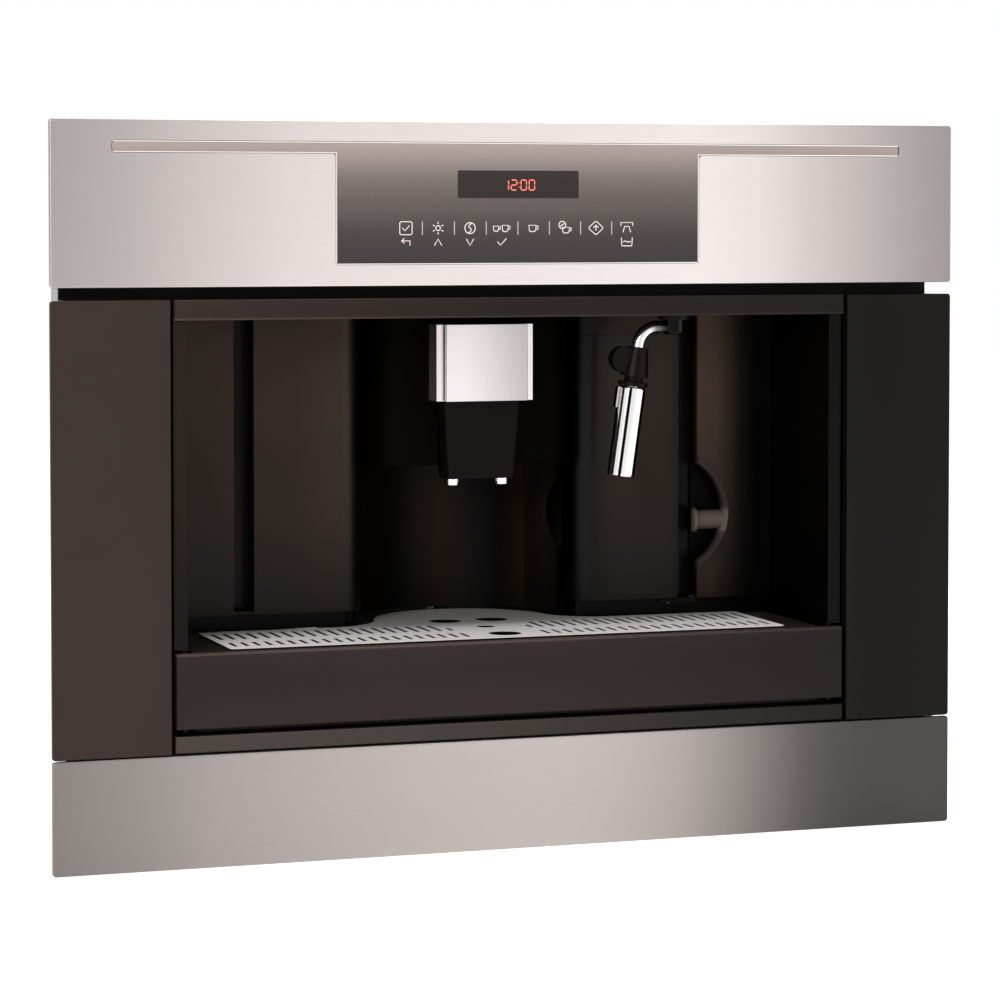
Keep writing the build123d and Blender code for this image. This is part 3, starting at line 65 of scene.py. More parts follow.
def linear(red: float, green: float, blue: float) -> Colour:
    """A display colour, 0 to 255 each, as scene-linear numbers.

    Args:
        red: Red as a display shows it.
        green: Green as a display shows it.
        blue: Blue as a display shows it.

    Returns:
        The same colour as a shader wants it.
    """
    def one(value: float) -> float:
        """One channel."""
        part = value / 255
        return part / 12.92 if part <= 0.04045 else ((part + 0.055) / 1.055) ** 2.4
    return one(red), one(green), one(blue)


class Grain(Enum):
    """How far brushing stretches along X, Y and Z."""

    ACROSS = (6.0, 260.0, 420.0)
    UPRIGHT = (420.0, 260.0, 6.0)
    INWARD = (420.0, 6.0, 420.0)


# ---- shader maths ----


class Signal:
    """A value that flows between shader nodes, usable in sums."""

    def __init__(self, graph: "Graph", socket: bpy.types.NodeSocket) -> None:
        """Wraps an output socket of the graph."""
        self.graph = graph
        self.socket = socket

    def maths(self, operation: str, *values: "Signal | float") -> "Signal":
        """The result of one Math node on the values, in order."""
        return self.graph.add("ShaderNodeMath", {"operation": operation}, dict(enumerate(values)))

    def __add__(self, other: "Signal | float") -> "Signal":
        """self + other."""
        return self.maths("ADD", self, other)

    def __radd__(self, other: float) -> "Signal":
        """other + self."""
        return self.maths("ADD", other, self)

    def __mul__(self, other: "Signal | float") -> "Signal":
        """self * other."""
        return self.maths("MULTIPLY", self, other)

    def __rmul__(self, other: float) -> "Signal":
        """other * self."""
        return self.maths("MULTIPLY", other, self)

    def larger(self, other: "Signal | float") -> "Signal":
        """The larger of the two."""
        return self.maths("MAXIMUM", self, other)


class Graph:
    """The shader nodes of one material or of the world."""

    def __init__(self, tree: bpy.types.NodeTree) -> None:
        """Starts with an empty tree."""
        self.tree = tree
        tree.nodes.clear()

    def add(self, kind: str, settings: dict[str, Any] | None = None,
            sockets: dict[int | str, Any] | None = None, out: int | str = 0) -> Signal:
        """Adds a node.

        Args:
            kind: The node's type.
            settings: Its settings, set first; "stops" are a ramp's (position, colour) pairs.
            sockets: Values or Signals for its inputs, by name or number.
            out: Which output to hand back.

        Returns:
            The chosen output.
        """
        node = self.tree.nodes.new(kind)
        for key, value in (settings or {}).items():
            if key == "stops":
                self._stops(node.color_ramp, value)
            else:
                setattr(node, key, value)
        for key, value in (sockets or {}).items():
            if isinstance(value, Signal):
                self.tree.links.new(value.socket, node.inputs[key])
            else:
                socket = node.inputs[key]
                if socket.type == "RGBA" and len(value) == 3:
                    value = (*value, 1.0)
                socket.default_value = value
        return Signal(self, node.outputs[out]) if node.outputs else Signal(self, None)

    @staticmethod
    def _stops(ramp: bpy.types.ColorRamp, stops: Sequence[tuple[float, Colour]]) -> None:
        """Sets a ramp's stops.

        Args:
            ramp: The ramp.
            stops: Its (position, colour) pairs, in rising order.
        """
        while len(ramp.elements) > 1:
            ramp.elements.remove(ramp.elements[-1])
        ramp.elements[0].position = stops[0][0]
        ramp.elements[0].color = (*stops[0][1], 1.0)
        for place, colour in stops[1:]:
            ramp.elements.new(place).color = (*colour, 1.0)

    def place(self) -> Signal:
        """Where a point is on the object, in metres."""
        return self.add("ShaderNodeTexCoord", out="Object")

    def part(self, vector: Signal, name: str) -> Signal:
        """The X, Y or Z of a vector."""
        return self.add("ShaderNodeSeparateXYZ", sockets={0: vector}, out=name)

    def stretched(self, vector: Signal, scale: Point) -> Signal:
        """A vector scaled along each axis."""
        return self.add("ShaderNodeMapping", sockets={"Vector": vector, "Scale": scale})

    def noise(self, vector: Signal, scale: float, detail: float = 2.0, rough: float = 0.5) -> Signal:
        """Soft cloudy values from 0 to 1, at a scale of blotches to the metre."""
        return self.add("ShaderNodeTexNoise", sockets={
            "Vector": vector, "Scale": scale, "Detail": detail, "Roughness": rough}, out="Fac")

    def spread(self, value: Signal, low: float, high: float, to_low: float = 0.0,
               to_high: float = 1.0) -> Signal:
        """The value with low..high mapped to to_low..to_high, held at its ends."""
        return self.add("ShaderNodeMapRange", {"clamp": True}, {
            0: value, 1: low, 2: high, 3: to_low, 4: to_high})

    def shown(self) -> Signal:
        """1 for rays from the eye, off gloss and through clear pieces, else 0."""
        rays = self.add("ShaderNodeLightPath", out="Is Camera Ray")
        ways = rays.socket.node.outputs
        gloss, clear = (Signal(self, ways[name]) for name in ("Is Glossy Ray", "Is Transmission Ray"))
        return rays.larger(gloss).larger(clear)

    def mix(self, factor: Signal | float, first: Any, second: Any) -> Signal:
        """A blend of two colours."""
        return self.add("ShaderNodeMix", {"data_type": "RGBA"}, {0: factor, 6: first, 7: second}, out=2)

    def bump(self, height: Signal, distance: float, strength: float = 1.0) -> Signal:
        """A bumped normal from a height."""
        return self.add("ShaderNodeBump", sockets={
            "Height": height, "Distance": distance, "Strength": strength}, out="Normal")

    def surface(self, **sockets: Any) -> Signal:
        """The Principled shader, its sockets named with _ for spaces."""
        return self.add("ShaderNodeBsdfPrincipled", sockets={
            key.replace("_", " "): value for key, value in sockets.items()})

    def output(self, shader: Signal) -> None:
        """Ends the graph in its material output."""
        self.add("ShaderNodeOutputMaterial", sockets={"Surface": shader})


# ---- finishes ----


@dataclass(frozen=True)
class Fade:
    """A soft change of brightness along a direction, as stops of (millimetres, brightness); most fades here
    are painted light and shade, one is the wand's black stem.
    """

    way: Point
    stops: tuple[tuple[float, float], ...]

    def on(self, graph: Graph, colour: Signal) -> Signal:
        """Multiplies a colour by the fade.

        Args:
            graph: The material's nodes.
            colour: The colour before the fade.

        Returns:
            The faded colour.
        """
        low, high = self.stops[0][0], self.stops[-1][0]
        along = graph.add("ShaderNodeVectorMath", {"operation": "DOT_PRODUCT"},
                          {0: graph.place(), 1: self.way}, out="Value")
        where = graph.spread(along, low * MM, high * MM)
        peak = max(value for _, value in self.stops)
        stops = [((at - low) / (high - low), (value / peak,) * 3) for at, value in self.stops]
        ramp = graph.add("ShaderNodeValToRGB", {"stops": stops}, {0: where})
        ramp.socket.node.color_ramp.interpolation = "CARDINAL" if len(stops) > 2 else "EASE"
        lit = graph.add("ShaderNodeVectorMath", {"operation": "MULTIPLY"}, {0: colour, 1: ramp})
        return graph.add("ShaderNodeVectorMath", {"operation": "SCALE"}, {0: lit, "Scale": peak})


@dataclass(frozen=True)
class Finish:
    """A finish of the machine, made once and shared by the pieces that have it."""

    name: str
    colour: Colour
    rough: float = 0.4
    fades: tuple[Fade, ...] = ()

    def material(self) -> bpy.types.Material:
        """The finish as a material."""
        name = "finish_" + self.name
        found = bpy.data.materials.get(name)
        if found:
            return found
        made = bpy.data.materials.new(name)
        made.use_nodes = True
        graph = Graph(made.node_tree)
        graph.output(self.shader(graph))
        made.diffuse_color = (*self.colour, 1.0)
        return made

    def shader(self, graph: Graph) -> Signal:
        """The finish's shader nodes."""
        raise NotImplementedError

    def tinted(self, graph: Graph, amount: Signal | float, dark: float, light: float) -> Signal:
        """The colour, mottled and under its fades.

        Args:
            graph: The material's nodes.
            amount: 0 for the darkest places to 1 for the lightest.
            dark: The darkest, as a share of the colour.
            light: The lightest, as a share of the colour.

        Returns:
            The colour at each point.
        """
        low = tuple(value * dark for value in self.colour)
        high = tuple(min(value * light, 1.0) for value in self.colour)
        tint = graph.mix(amount, low, high)
        for fade in self.fades:
            tint = fade.on(graph, tint)
        return tint


@dataclass(frozen=True)
class BrushedSteel(Finish):
    """Satin steel with fine straight brushing."""

    grain: Grain = Grain.ACROSS
    metallic: float = 0.9
    gloss: float = 0.5

    def shader(self, graph: Graph) -> Signal:
        """Long streaks in the colour, the roughness and the height."""
        place = graph.place()
        lines = graph.noise(graph.stretched(place, self.grain.value), 9.0, 6.0, 0.7)
        fine = graph.noise(graph.stretched(place, self.grain.value), 34.0, 2.0, 0.6)
        clouds = graph.noise(place, 7.0, 3.0)
        streaks = graph.spread(lines * 0.6 + fine * 0.4, 0.32, 0.68)
        colour = self.tinted(graph, streaks * 0.7 + clouds * 0.3, 0.92, 1.06)
        rough = graph.spread(streaks, 0.0, 1.0, self.rough - 0.05, self.rough + 0.06)
        return graph.surface(Base_Color=colour, Metallic=self.metallic, Roughness=rough,
                             Specular_IOR_Level=self.gloss, Normal=graph.bump(lines + fine, 0.00003, 0.35))


@dataclass(frozen=True)
class Moulding(Finish):
    """Moulded plastic with a fine spark-eroded grain."""

    grain_size: float = 800.0
    grain_depth: float = 0.00003
    coat: float = 0.0
    gloss: float = 0.05

    def shader(self, graph: Graph) -> Signal:
        """Grain in the height, faint mottling in the colour, handling shine in the roughness."""
        place = graph.place()
        grain = graph.noise(place, self.grain_size, 2.0, 0.6)
        mottle = graph.noise(place, 22.0, 4.0)
        handled = graph.spread(graph.noise(place, 9.0, 3.0), 0.35, 0.7)
        colour = self.tinted(graph, mottle * 0.6 + grain * 0.4, 0.86, 1.14)
        rough = graph.spread(handled, 0.0, 1.0, self.rough + 0.05, self.rough - 0.05)
        return graph.surface(Base_Color=colour, Roughness=rough, Coat_Weight=self.coat, Coat_Roughness=0.08,
                             Specular_IOR_Level=self.gloss, Normal=graph.bump(grain, self.grain_depth, 0.5))


@dataclass(frozen=True)
class SatinTrim(Moulding):
    """The finer, lacquered moulding of the front's dark trim."""

    grain_size: float = 1100.0
    grain_depth: float = 0.00001
    coat: float = 0.03
    gloss: float = 0.08


@dataclass(frozen=True)
class NicheWall(Moulding):
    """The lacquered moulding of the niche's walls."""

    grain_depth: float = 0.00002
    coat: float = 0.03
    gloss: float = 0.08


@dataclass(frozen=True)
class PolishedMetal(Finish):
    """Bright turned or drawn metal with faint polishing marks."""

    def shader(self, graph: Graph) -> Signal:
        """Faint marks in the colour and the roughness."""
        place = graph.place()
        marks = graph.noise(graph.stretched(place, (1.0, 1.0, 7.0)), 60.0, 5.0, 0.7)
        smear = graph.noise(place, 18.0, 3.0)
        colour = self.tinted(graph, marks * 0.5 + smear * 0.5, 0.9, 1.05)
        rough = graph.spread(smear, 0.3, 0.7, self.rough - 0.04, self.rough + 0.06)
        return graph.surface(Base_Color=colour, Metallic=1.0, Roughness=rough,
                             Normal=graph.bump(marks, 0.00001, 0.25))


@dataclass(frozen=True)
class PrintedGlass(Finish):
    """Smoked glass over a dark print."""

    def shader(self, graph: Graph) -> Signal:
        """An even print, faint dust and wiping marks."""
        place = graph.place()
        dust = graph.noise(place, 300.0, 2.0)
        wiped = graph.spread(graph.noise(graph.stretched(place, (2.0, 2.0, 9.0)), 12.0, 3.0), 0.3, 0.7)
        colour = self.tinted(graph, dust, 0.97, 1.03)
        rough = graph.spread(wiped, 0.0, 1.0, self.rough, self.rough + 0.04)
        return graph.surface(Base_Color=colour, Roughness=rough, Specular_IOR_Level=0.3)


@dataclass(frozen=True)
class ZincSheet(Finish):
    """Hot-dip zinc on steel sheet, with its frosty spangle."""

    def shader(self, graph: Graph) -> Signal:
        """Spangle cells of slightly different greys, with rolling marks."""
        place = graph.place()
        bent = graph.add("ShaderNodeVectorMath", {"operation": "ADD"}, {
            0: place, 1: graph.add("ShaderNodeVectorMath", {"operation": "SCALE"}, {
                0: graph.add("ShaderNodeTexNoise", sockets={"Vector": place, "Scale": 60.0}, out="Color"),
                "Scale": 0.012})})
        cells = graph.add("ShaderNodeTexVoronoi", sockets={"Vector": bent, "Scale": 95.0}, out="Color")
        shade = graph.part(cells, "X")
        rolled = graph.noise(graph.stretched(place, (1.0, 60.0, 60.0)), 5.0, 4.0)
        colour = self.tinted(graph, shade * 0.7 + rolled * 0.3, 0.84, 1.12)
        rough = graph.spread(shade, 0.0, 1.0, self.rough - 0.08, self.rough + 0.1)
        return graph.surface(Base_Color=colour, Metallic=0.85, Roughness=rough,
                             Normal=graph.bump(shade * 0.4 + rolled, 0.00003, 0.4))


@dataclass(frozen=True)
class ClearMoulding(Finish):
    """Clear, lightly smoked plastic."""

    clearness: float = 0.9

    def shader(self, graph: Graph) -> Signal:
        """Clear plastic with faint flow lines."""
        place = graph.place()
        flow = graph.noise(graph.stretched(place, (1.0, 1.0, 0.3)), 30.0, 3.0)
        rough = graph.spread(flow, 0.3, 0.7, self.rough, self.rough + 0.06)
        return graph.surface(Base_Color=self.tinted(graph, flow, 0.96, 1.03), Roughness=rough,
                             Transmission_Weight=self.clearness, IOR=1.49,
                             Normal=graph.bump(flow, 0.0001, 0.2))


@dataclass(frozen=True)
class CastMetal(Finish):
    """Cast or sintered metal with a fine sandy skin."""

    metallic: float = 0.9

    def shader(self, graph: Graph) -> Signal:
        """A sandy skin with darker pits."""
        place = graph.place()
        sand = graph.noise(place, 700.0, 3.0, 0.65)
        flow = graph.noise(place, 35.0, 4.0)
        colour = self.tinted(graph, sand * 0.5 + flow * 0.5, 0.82, 1.12)
        rough = graph.spread(sand, 0.3, 0.7, self.rough, self.rough + 0.12)
        return graph.surface(Base_Color=colour, Metallic=self.metallic, Roughness=rough,
                             Normal=graph.bump(sand, 0.00012, 0.6))


@dataclass(frozen=True)
class CircuitBoard(Finish):
    """Lacquered circuit board with copper tracks under the green."""

    def shader(self, graph: Graph) -> Signal:
        """Tracks as lighter green lines in square steps."""
        place = graph.place()
        wide = graph.add("ShaderNodeTexBrick", {"offset": 0.5, "squash": 1.0}, {
            "Vector": graph.add("ShaderNodeMapping", sockets={
                "Vector": place, "Rotation": (math.pi / 2, 0.0, 0.0)}),
            "Scale": 120.0, "Mortar Size": 0.05, "Brick Width": 1.4, "Row Height": 0.5}, out="Fac")
        weave = graph.noise(place, 500.0, 2.0)
        colour = self.tinted(graph, wide * 0.7 + weave * 0.3, 0.75, 1.5)
        return graph.surface(Base_Color=colour, Roughness=graph.spread(weave, 0.0, 1.0, 0.25, 0.45),
                             Coat_Weight=0.3, Normal=graph.bump(wide, 0.00005, 0.5))


@dataclass(frozen=True)
class GlowingMark(Finish):
    """Printed marks and the lit clock digits, which glow a little so that they show on dark glass; on the
    printed marks, which are no lamps, the glow is painted light.
    """

    glow: float = 0.5

    def shader(self, graph: Graph) -> Signal:
        """An even mark with a faint speckle."""
        speckle = graph.noise(graph.place(), 900.0, 2.0)
        colour = self.tinted(graph, speckle, 0.92, 1.0)
        return graph.surface(Base_Color=colour, Roughness=graph.spread(speckle, 0.0, 1.0, 0.4, 0.5),
                             Emission_Color=colour, Emission_Strength=self.glow)


# ---- modelling by hand ----


class Piece:
    """One new piece: a primitive at its size and place, shaped in edit mode and dressed."""

    def __init__(self, name: str) -> None:
        """Names the piece; a start such as block follows."""
        self.name = name
        self.object: bpy.types.Object | None = None

    # starts

    @staticmethod
    def clear() -> None:
        """Leaves edit mode and deselects everything."""
        if bpy.context.object and bpy.context.object.mode != "OBJECT":
            bpy.ops.object.mode_set(mode="OBJECT")
        bpy.ops.object.select_all(action="DESELECT")

    def only(self) -> None:
        """Selects this piece alone, in object mode."""
        self.clear()
        self.object.select_set(True)
        bpy.context.view_layer.objects.active = self.object

    def _begin(self) -> "Piece":
        """Takes the new primitive, puts its place in its mesh and opens edit mode."""
        self.object = bpy.context.object
        self.object.name = self.name
        self.object.data.name = self.name
        bpy.ops.object.transform_apply(location=True, rotation=True, scale=True)
        bpy.ops.object.mode_set(mode="EDIT")
        bpy.ops.mesh.select_all(action="DESELECT")
        return self

    def block(self, low: Point, high: Point) -> "Piece":
        """Starts from a block.

        Args:
            low: Its lowest corner, in millimetres.
            high: Its highest corner, in millimetres.

        Returns:
            The piece, in edit mode.
        """
        self.clear()
        centre = [(a + b) / 2 * MM for a, b in zip(low, high)]
        size = [(b - a) * MM for a, b in zip(low, high)]
        bpy.ops.mesh.primitive_cube_add(size=1.0, location=centre, scale=size)
        return self._begin()

    def rod(self, centre: Point, radius: float, length: float, sides: int) -> "Piece":
        """Starts from an upright round rod.

        Args:
            centre: Its middle, in millimetres.
            radius: Its radius, in millimetres.
            length: Its length, in millimetres.
            sides: Faces round it.

        Returns:
            The piece, in edit mode.
        """
        self.clear()
        bpy.ops.mesh.primitive_cylinder_add(vertices=sides, radius=radius * MM, depth=length * MM,
                                            location=mm(*centre))
        return self._begin()

    def sheet(self, low: Point, high: Point) -> "Piece":
        """Starts from a flat upright sheet that faces the front.

        Args:
            low: Its lower left corner, in millimetres.
            high: Its upper right corner, in millimetres.

        Returns:
            The piece, in edit mode.
        """
        self.clear()
        centre = [(a + b) / 2 * MM for a, b in zip(low, high)]
        size = ((high[0] - low[0]) * MM, (high[2] - low[2]) * MM, 1.0)
        bpy.ops.mesh.primitive_plane_add(size=1.0, location=centre, rotation=(QUARTER_TURN, 0.0, 0.0))
        bpy.context.object.scale = size
        return self._begin()

    # choosing

    def faces(self, test: Test) -> "Piece":
        """Selects faces.

        Args:
            test: Told each face's centre, in millimetres, and its normal.

        Returns:
            The piece.
        """
        bpy.ops.mesh.select_mode(type="FACE")
        bpy.ops.mesh.select_all(action="DESELECT")
        mesh = bmesh.from_edit_mesh(self.object.data)
        for face in mesh.faces:
            if test(face.calc_center_median() / MM, face.normal):
                face.select_set(True)
        bmesh.update_edit_mesh(self.object.data)
        return self

    def edges(self, test: Test) -> "Piece":
        """Selects edges.

        Args:
            test: Told each edge's middle, in millimetres, and its direction.

        Returns:
            The piece.
        """
        bpy.ops.mesh.select_mode(type="EDGE")
        bpy.ops.mesh.select_all(action="DESELECT")
        mesh = bmesh.from_edit_mesh(self.object.data)
        for edge in mesh.edges:
            first, second = edge.verts[0].co, edge.verts[1].co
            if test((first + second) / 2 / MM, (second - first).normalized()):
                edge.select_set(True)
        bmesh.update_edit_mesh(self.object.data)
        return self

    def all(self) -> "Piece":
        """Selects the whole mesh."""
        bpy.ops.mesh.select_mode(type="FACE")
        bpy.ops.mesh.select_all(action="SELECT")
        return self

    # shaping

    def inset(self, width: float, depth: float = 0.0) -> "Piece":
        """Insets the chosen faces by a width and pushes them out by a depth, in millimetres."""
        bpy.ops.mesh.inset(thickness=width * MM, depth=depth * MM, use_even_offset=True)
        return self

    def pull(self, *way: float) -> "Piece":
        """Extrudes the chosen part by a vector in millimetres."""
        bpy.ops.mesh.extrude_region_move(TRANSFORM_OT_translate={"value": mm(*way)})
        return self

    def resize(self, centre: Point, *scale: float) -> "Piece":
        """Scales the chosen part about a point in millimetres."""
        bpy.ops.transform.resize(value=scale, center_override=mm(*centre))
        return self

    def bevel(self, width: float, steps: int) -> "Piece":
        """Bevels the chosen edges by a width in millimetres."""
        bpy.ops.mesh.bevel(offset=width * MM, segments=steps, affect="EDGES", clamp_overlap=True)
        return self

    def cut(self, point: Point, normal: Point) -> "Piece":
        """Cuts the whole mesh along a plane."""
        self.all()
        bpy.ops.mesh.bisect(plane_co=mm(*point), plane_no=normal)
        return self

    def delete(self) -> "Piece":
        """Deletes the chosen faces."""
        bpy.ops.mesh.delete(type="FACE")
        return self

    # ending

    def done(self, finish: Finish, body: str, slot: str) -> bpy.types.Object:
        """Smooths and dresses the piece, fixes it to its body and reports it.

        Args:
            finish: What it is dressed in.
            body: The CAD body that it moves with.
            slot: The record's material slot; not used.

        Returns:
            The finished object.
        """
        self.only()
        bpy.ops.object.shade_smooth_by_angle(angle=SHARP)
        mesh = self.object.data
        mesh.materials.clear()
        mesh.materials.append(finish.material())
        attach(self.object, body)
        log.info("%s: %d faces, rides on %s", self.object.name, len(mesh.polygons), body)
        return self.object

    def copy(self, name: str, *way: float) -> "Piece":
        """Copies the piece, mesh and all.

        Args:
            name: The copy's name.
            way: How far the copy is moved, in millimetres.

        Returns:
            The copy.
        """
        self.clear()
        twin = Piece(name)
        twin.object = self.object.copy()
        twin.object.data = self.object.data.copy()
        twin.object.name = twin.object.data.name = name
        bpy.context.scene.collection.objects.link(twin.object)
        shift = Vector(mm(*way))
        for vertex in twin.object.data.vertices:
            vertex.co += shift
        return twin

    def join(self, others: Iterable["Piece"]) -> "Piece":
        """Joins pieces.

        Args:
            others: The pieces that become part of this one.

        Returns:
            The piece, in object mode.
        """
        self.only()
        for other in others:
            other.object.select_set(True)
        bpy.ops.object.join()
        return self


@dataclass(frozen=True)
class Stroke:
    """One drawn line of a symbol, in its own millimetres."""

    points: tuple[Flat, ...]
    closed: bool = False
    curved: bool = False


class Face(Enum):
    """The side of the machine that a print looks to, as its across, up and outward directions."""

    FRONT = ((1, 0, 0), (0, 0, 1), (0, -1, 0))
    REAR = ((-1, 0, 0), (0, 0, 1), (0, 1, 0))
    TOP = ((1, 0, 0), (0, 1, 0), (0, 0, 1))
    RIGHT = ((0, 1, 0), (0, 0, 1), (1, 0, 0))


def circle(radius: float, x: float = 0.0, y: float = 0.0, steps: int = 14) -> Stroke:
    """A round line of a symbol."""
    turn = 2 * math.pi / steps
    return Stroke(tuple((x + radius * math.cos(i * turn), y + radius * math.sin(i * turn))
                        for i in range(steps)), closed=True)


def ray(angle: float, near: float, far: float) -> Stroke:
    """A line outwards from a symbol's middle, at an angle in degrees."""
    across, up = math.cos(math.radians(angle)), math.sin(math.radians(angle))
    return Stroke(((near * across, near * up), (far * across, far * up)))


def drawn(name: str, strokes: Sequence[Stroke], places: Sequence[Flat], height: float,
          width: float, face: Face = Face.FRONT, thick: float = 0.12) -> Piece:
    """Draws lines on a flat face, as thin flat ribs.

    Args:
        name: The piece's name.
        strokes: The lines.
        places: Where the middle of each copy goes, across and up the face in millimetres.
        height: How far out the ribs' middle lies along the face's outward direction, in millimetres.
        width: The ribs' width, in millimetres.
        face: The side that the face looks to.
        thick: The ribs' thickness, in millimetres.

    Returns:
        The piece, as a mesh.
    """
    curve = bpy.data.curves.new(name, "CURVE")
    curve.dimensions = "3D"
    curve.bevel_depth = width / 2 * MM
    curve.bevel_resolution = 1
    curve.resolution_u = 4
    curve.use_fill_caps = True
    for across, up in places:
        for stroke in strokes:
            spline = curve.splines.new("NURBS" if stroke.curved else "POLY")
            spline.points.add(len(stroke.points) - 1)
            for point, (x, y) in zip(spline.points, stroke.points):
                point.co = ((across + x) * MM, (up + y) * MM, 0.0, 1.0)
            spline.use_cyclic_u = stroke.closed
            if stroke.curved:
                spline.order_u = 3
                spline.use_endpoint_u = not stroke.closed
    piece = Piece(name)
    piece.object = bpy.data.objects.new(name, curve)
    bpy.context.scene.collection.objects.link(piece.object)
    piece.only()
    bpy.ops.object.convert(target="MESH")
    piece.object = bpy.context.object
    right, above, out = (Vector(way) for way in face.value)
    for vertex in piece.object.data.vertices:
        x, y, z = vertex.co
        vertex.co = right * x + above * y + out * (z * thick / width + height * MM)
    return piece


# ---- the studio ----


@dataclass
class Studio:
    """The camera, the lamps, the white surround and the pale floor."""

    eye: Point = (-706.1, -2036.4, 395.5)
    turn: float = 18.97
    tilt: float = 2.28
    lens: float = 123.2
    shift: float = -0.15
    floor_z: float = -2.8
    lamps: tuple[tuple[str, Point, Point, float, float], ...] = (
        ("key", (-1.9, -2.3, 1.5), (0.0, 0.0, 0.2), 1.6, 62.0),
        ("fill", (2.2, -1.9, 0.9), (0.0, 0.0, 0.2), 1.8, 16.0),
        ("top", (0.0, -0.2, 2.4), (0.0, 0.1, 0.3), 1.8, 26.0),
        ("rear", (0.6, 2.4, 1.6), (0.0, 0.3, 0.2), 1.8, 30.0))

    def camera(self) -> None:
        """Stands the camera at the photograph's viewing angle."""
        data = bpy.data.cameras.new("camera")
        data.lens = self.lens
        data.sensor_width = 36.0
        data.shift_y = self.shift
        data.clip_start = 0.05
        data.clip_end = 60.0
        camera = bpy.data.objects.new("camera", data)
        camera.location = mm(*self.eye)
        camera.rotation_euler = (math.radians(90.0 - self.tilt), 0.0, -math.radians(self.turn))
        bpy.context.scene.collection.objects.link(camera)
        bpy.context.scene.camera = camera

    def world(self) -> None:
        """White for the eye, for gloss and for glass; a softer grey for the light itself."""
        world = bpy.data.worlds.new("studio")
        bpy.context.scene.world = world
        world.use_nodes = True
        graph = Graph(world.node_tree)
        light = graph.add("ShaderNodeBackground", sockets={"Color": (0.96, 0.97, 1.0), "Strength": 0.55})
        white = graph.add("ShaderNodeBackground", sockets={"Color": (1.0, 1.0, 1.0), "Strength": 1.0})
        both = graph.add("ShaderNodeMixShader", sockets={0: graph.shown(), 1: light, 2: white})
        graph.add("ShaderNodeOutputWorld", sockets={"Surface": both})

    def lamp(self, name: str, place: Point, aim: Point, size: float, watts: float) -> None:
        """Hangs one soft square lamp.

        Args:
            name: Its name.
            place: Where it hangs, in metres.
            aim: What it points at, in metres.
            size: Its side, in metres.
            watts: Its power.
        """
        data = bpy.data.lights.new(name, "AREA")
        data.shape = "SQUARE"
        data.size = size
        data.energy = watts
        lamp = bpy.data.objects.new(name, data)
        lamp.location = place
        lamp.rotation_euler = (Vector(aim) - Vector(place)).to_track_quat("-Z", "Y").to_euler()
        bpy.context.scene.collection.objects.link(lamp)

    def floor(self) -> None:
        """Lays the pale floor that keeps the machine's shadow."""
        Piece.clear()
        bpy.ops.mesh.primitive_plane_add(size=14.0, location=(0.0, 0.0, self.floor_z * MM))
        floor = bpy.context.object
        floor.name = "studio_floor"
        material = bpy.data.materials.new("pale_floor")
        material.use_nodes = True
        graph = Graph(material.node_tree)
        lift = graph.add("ShaderNodeEmission", sockets={
            "Color": (1.0, 1.0, 1.0), "Strength": graph.shown() * 0.62})
        card = graph.surface(Base_Color=(0.86, 0.86, 0.86), Roughness=0.9)
        graph.output(graph.add("ShaderNodeAddShader", sockets={0: card, 1: lift}))
        floor.data.materials.append(material)

    def build(self) -> None:
        """Sets the whole studio up, camera first."""
        self.camera()
        self.world()
        for lamp in self.lamps:
            self.lamp(*lamp)
        self.floor()
        bpy.context.scene.view_settings.view_transform = "Standard"


# ---- the finishes of this machine ----

ACROSS = (1.0, 0.0, 0.0)
INWARD = (0.0, 1.0, 0.0)
UPRIGHT = (0.0, 0.0, 1.0)
OVER_SLEEVE = (0.98978, 0.0, -0.14263)  # square to the leaning frother sleeve

# Painted reflection: the control panel's steel lighter in the middle and darker towards both ends.
STEEL_PAINTED_REFLECTION = Fade(ACROSS, ((-297, 0.42), (-225, 0.57), (-150, 0.76), (0, 0.83), (125, 0.82),
                           (190, 0.61), (297, 0.28)))
# Painted reflection: the kick panel's steel lightest left of the middle, dark towards its right end.
KICK_PAINTED_REFLECTION = Fade(ACROSS, ((-297, 0.36), (-200, 0.58), (0, 0.80), (110, 0.62), (190, 0.19), (297, 0.10)))
# Painted light: the hood's steel darker towards its right, with a painted highlight on its right-hand edge.
HOOD_PAINTED_LIGHT = Fade(ACROSS, ((-33, 0.92), (-10, 0.88), (27, 0.58), (28.5, 0.58), (29, 0.95)))
# Painted reflection: the glass dark towards its bottom and much lighter towards its top strip.
GLASS_PAINTED_REFLECTION = Fade(UPRIGHT, ((364, 0.20), (392, 0.46), (420, 1.15), (440, 2.3)))
# Painted light: the fascias and the lower bar lighter on the left and dark on the right.
SIDE_PAINTED_LIGHT = Fade(ACROSS, ((-297, 1.05), (-223, 1.0), (0, 0.7), (223, 0.16), (297, 0.12)))
# Painted light: the top bar lighter at the left and darker towards the right.
BAR_PAINTED_LIGHT = Fade(ACROSS, ((-221, 1.15), (-60, 0.75), (90, 0.55), (221, 0.35)))
# Painted highlight: a bright line along the top bar's lower edge.
BAR_PAINTED_EDGE_HIGHLIGHT = Fade(UPRIGHT, ((331.0, 2.4), (331.9, 2.0), (332.3, 1.0), (343.5, 1.0)))
# Painted light: the tray front darker towards its right end.
TRAY_PAINTED_LIGHT = Fade(ACROSS, ((-221, 0.85), (0, 0.95), (221, 0.45)))
# Painted highlight: a bright line along the tray front's top edge.
TRAY_PAINTED_EDGE_HIGHLIGHT = Fade(UPRIGHT, ((82.5, 1.0), (126.9, 1.0), (127.4, 2.4), (128.5, 3.2)))
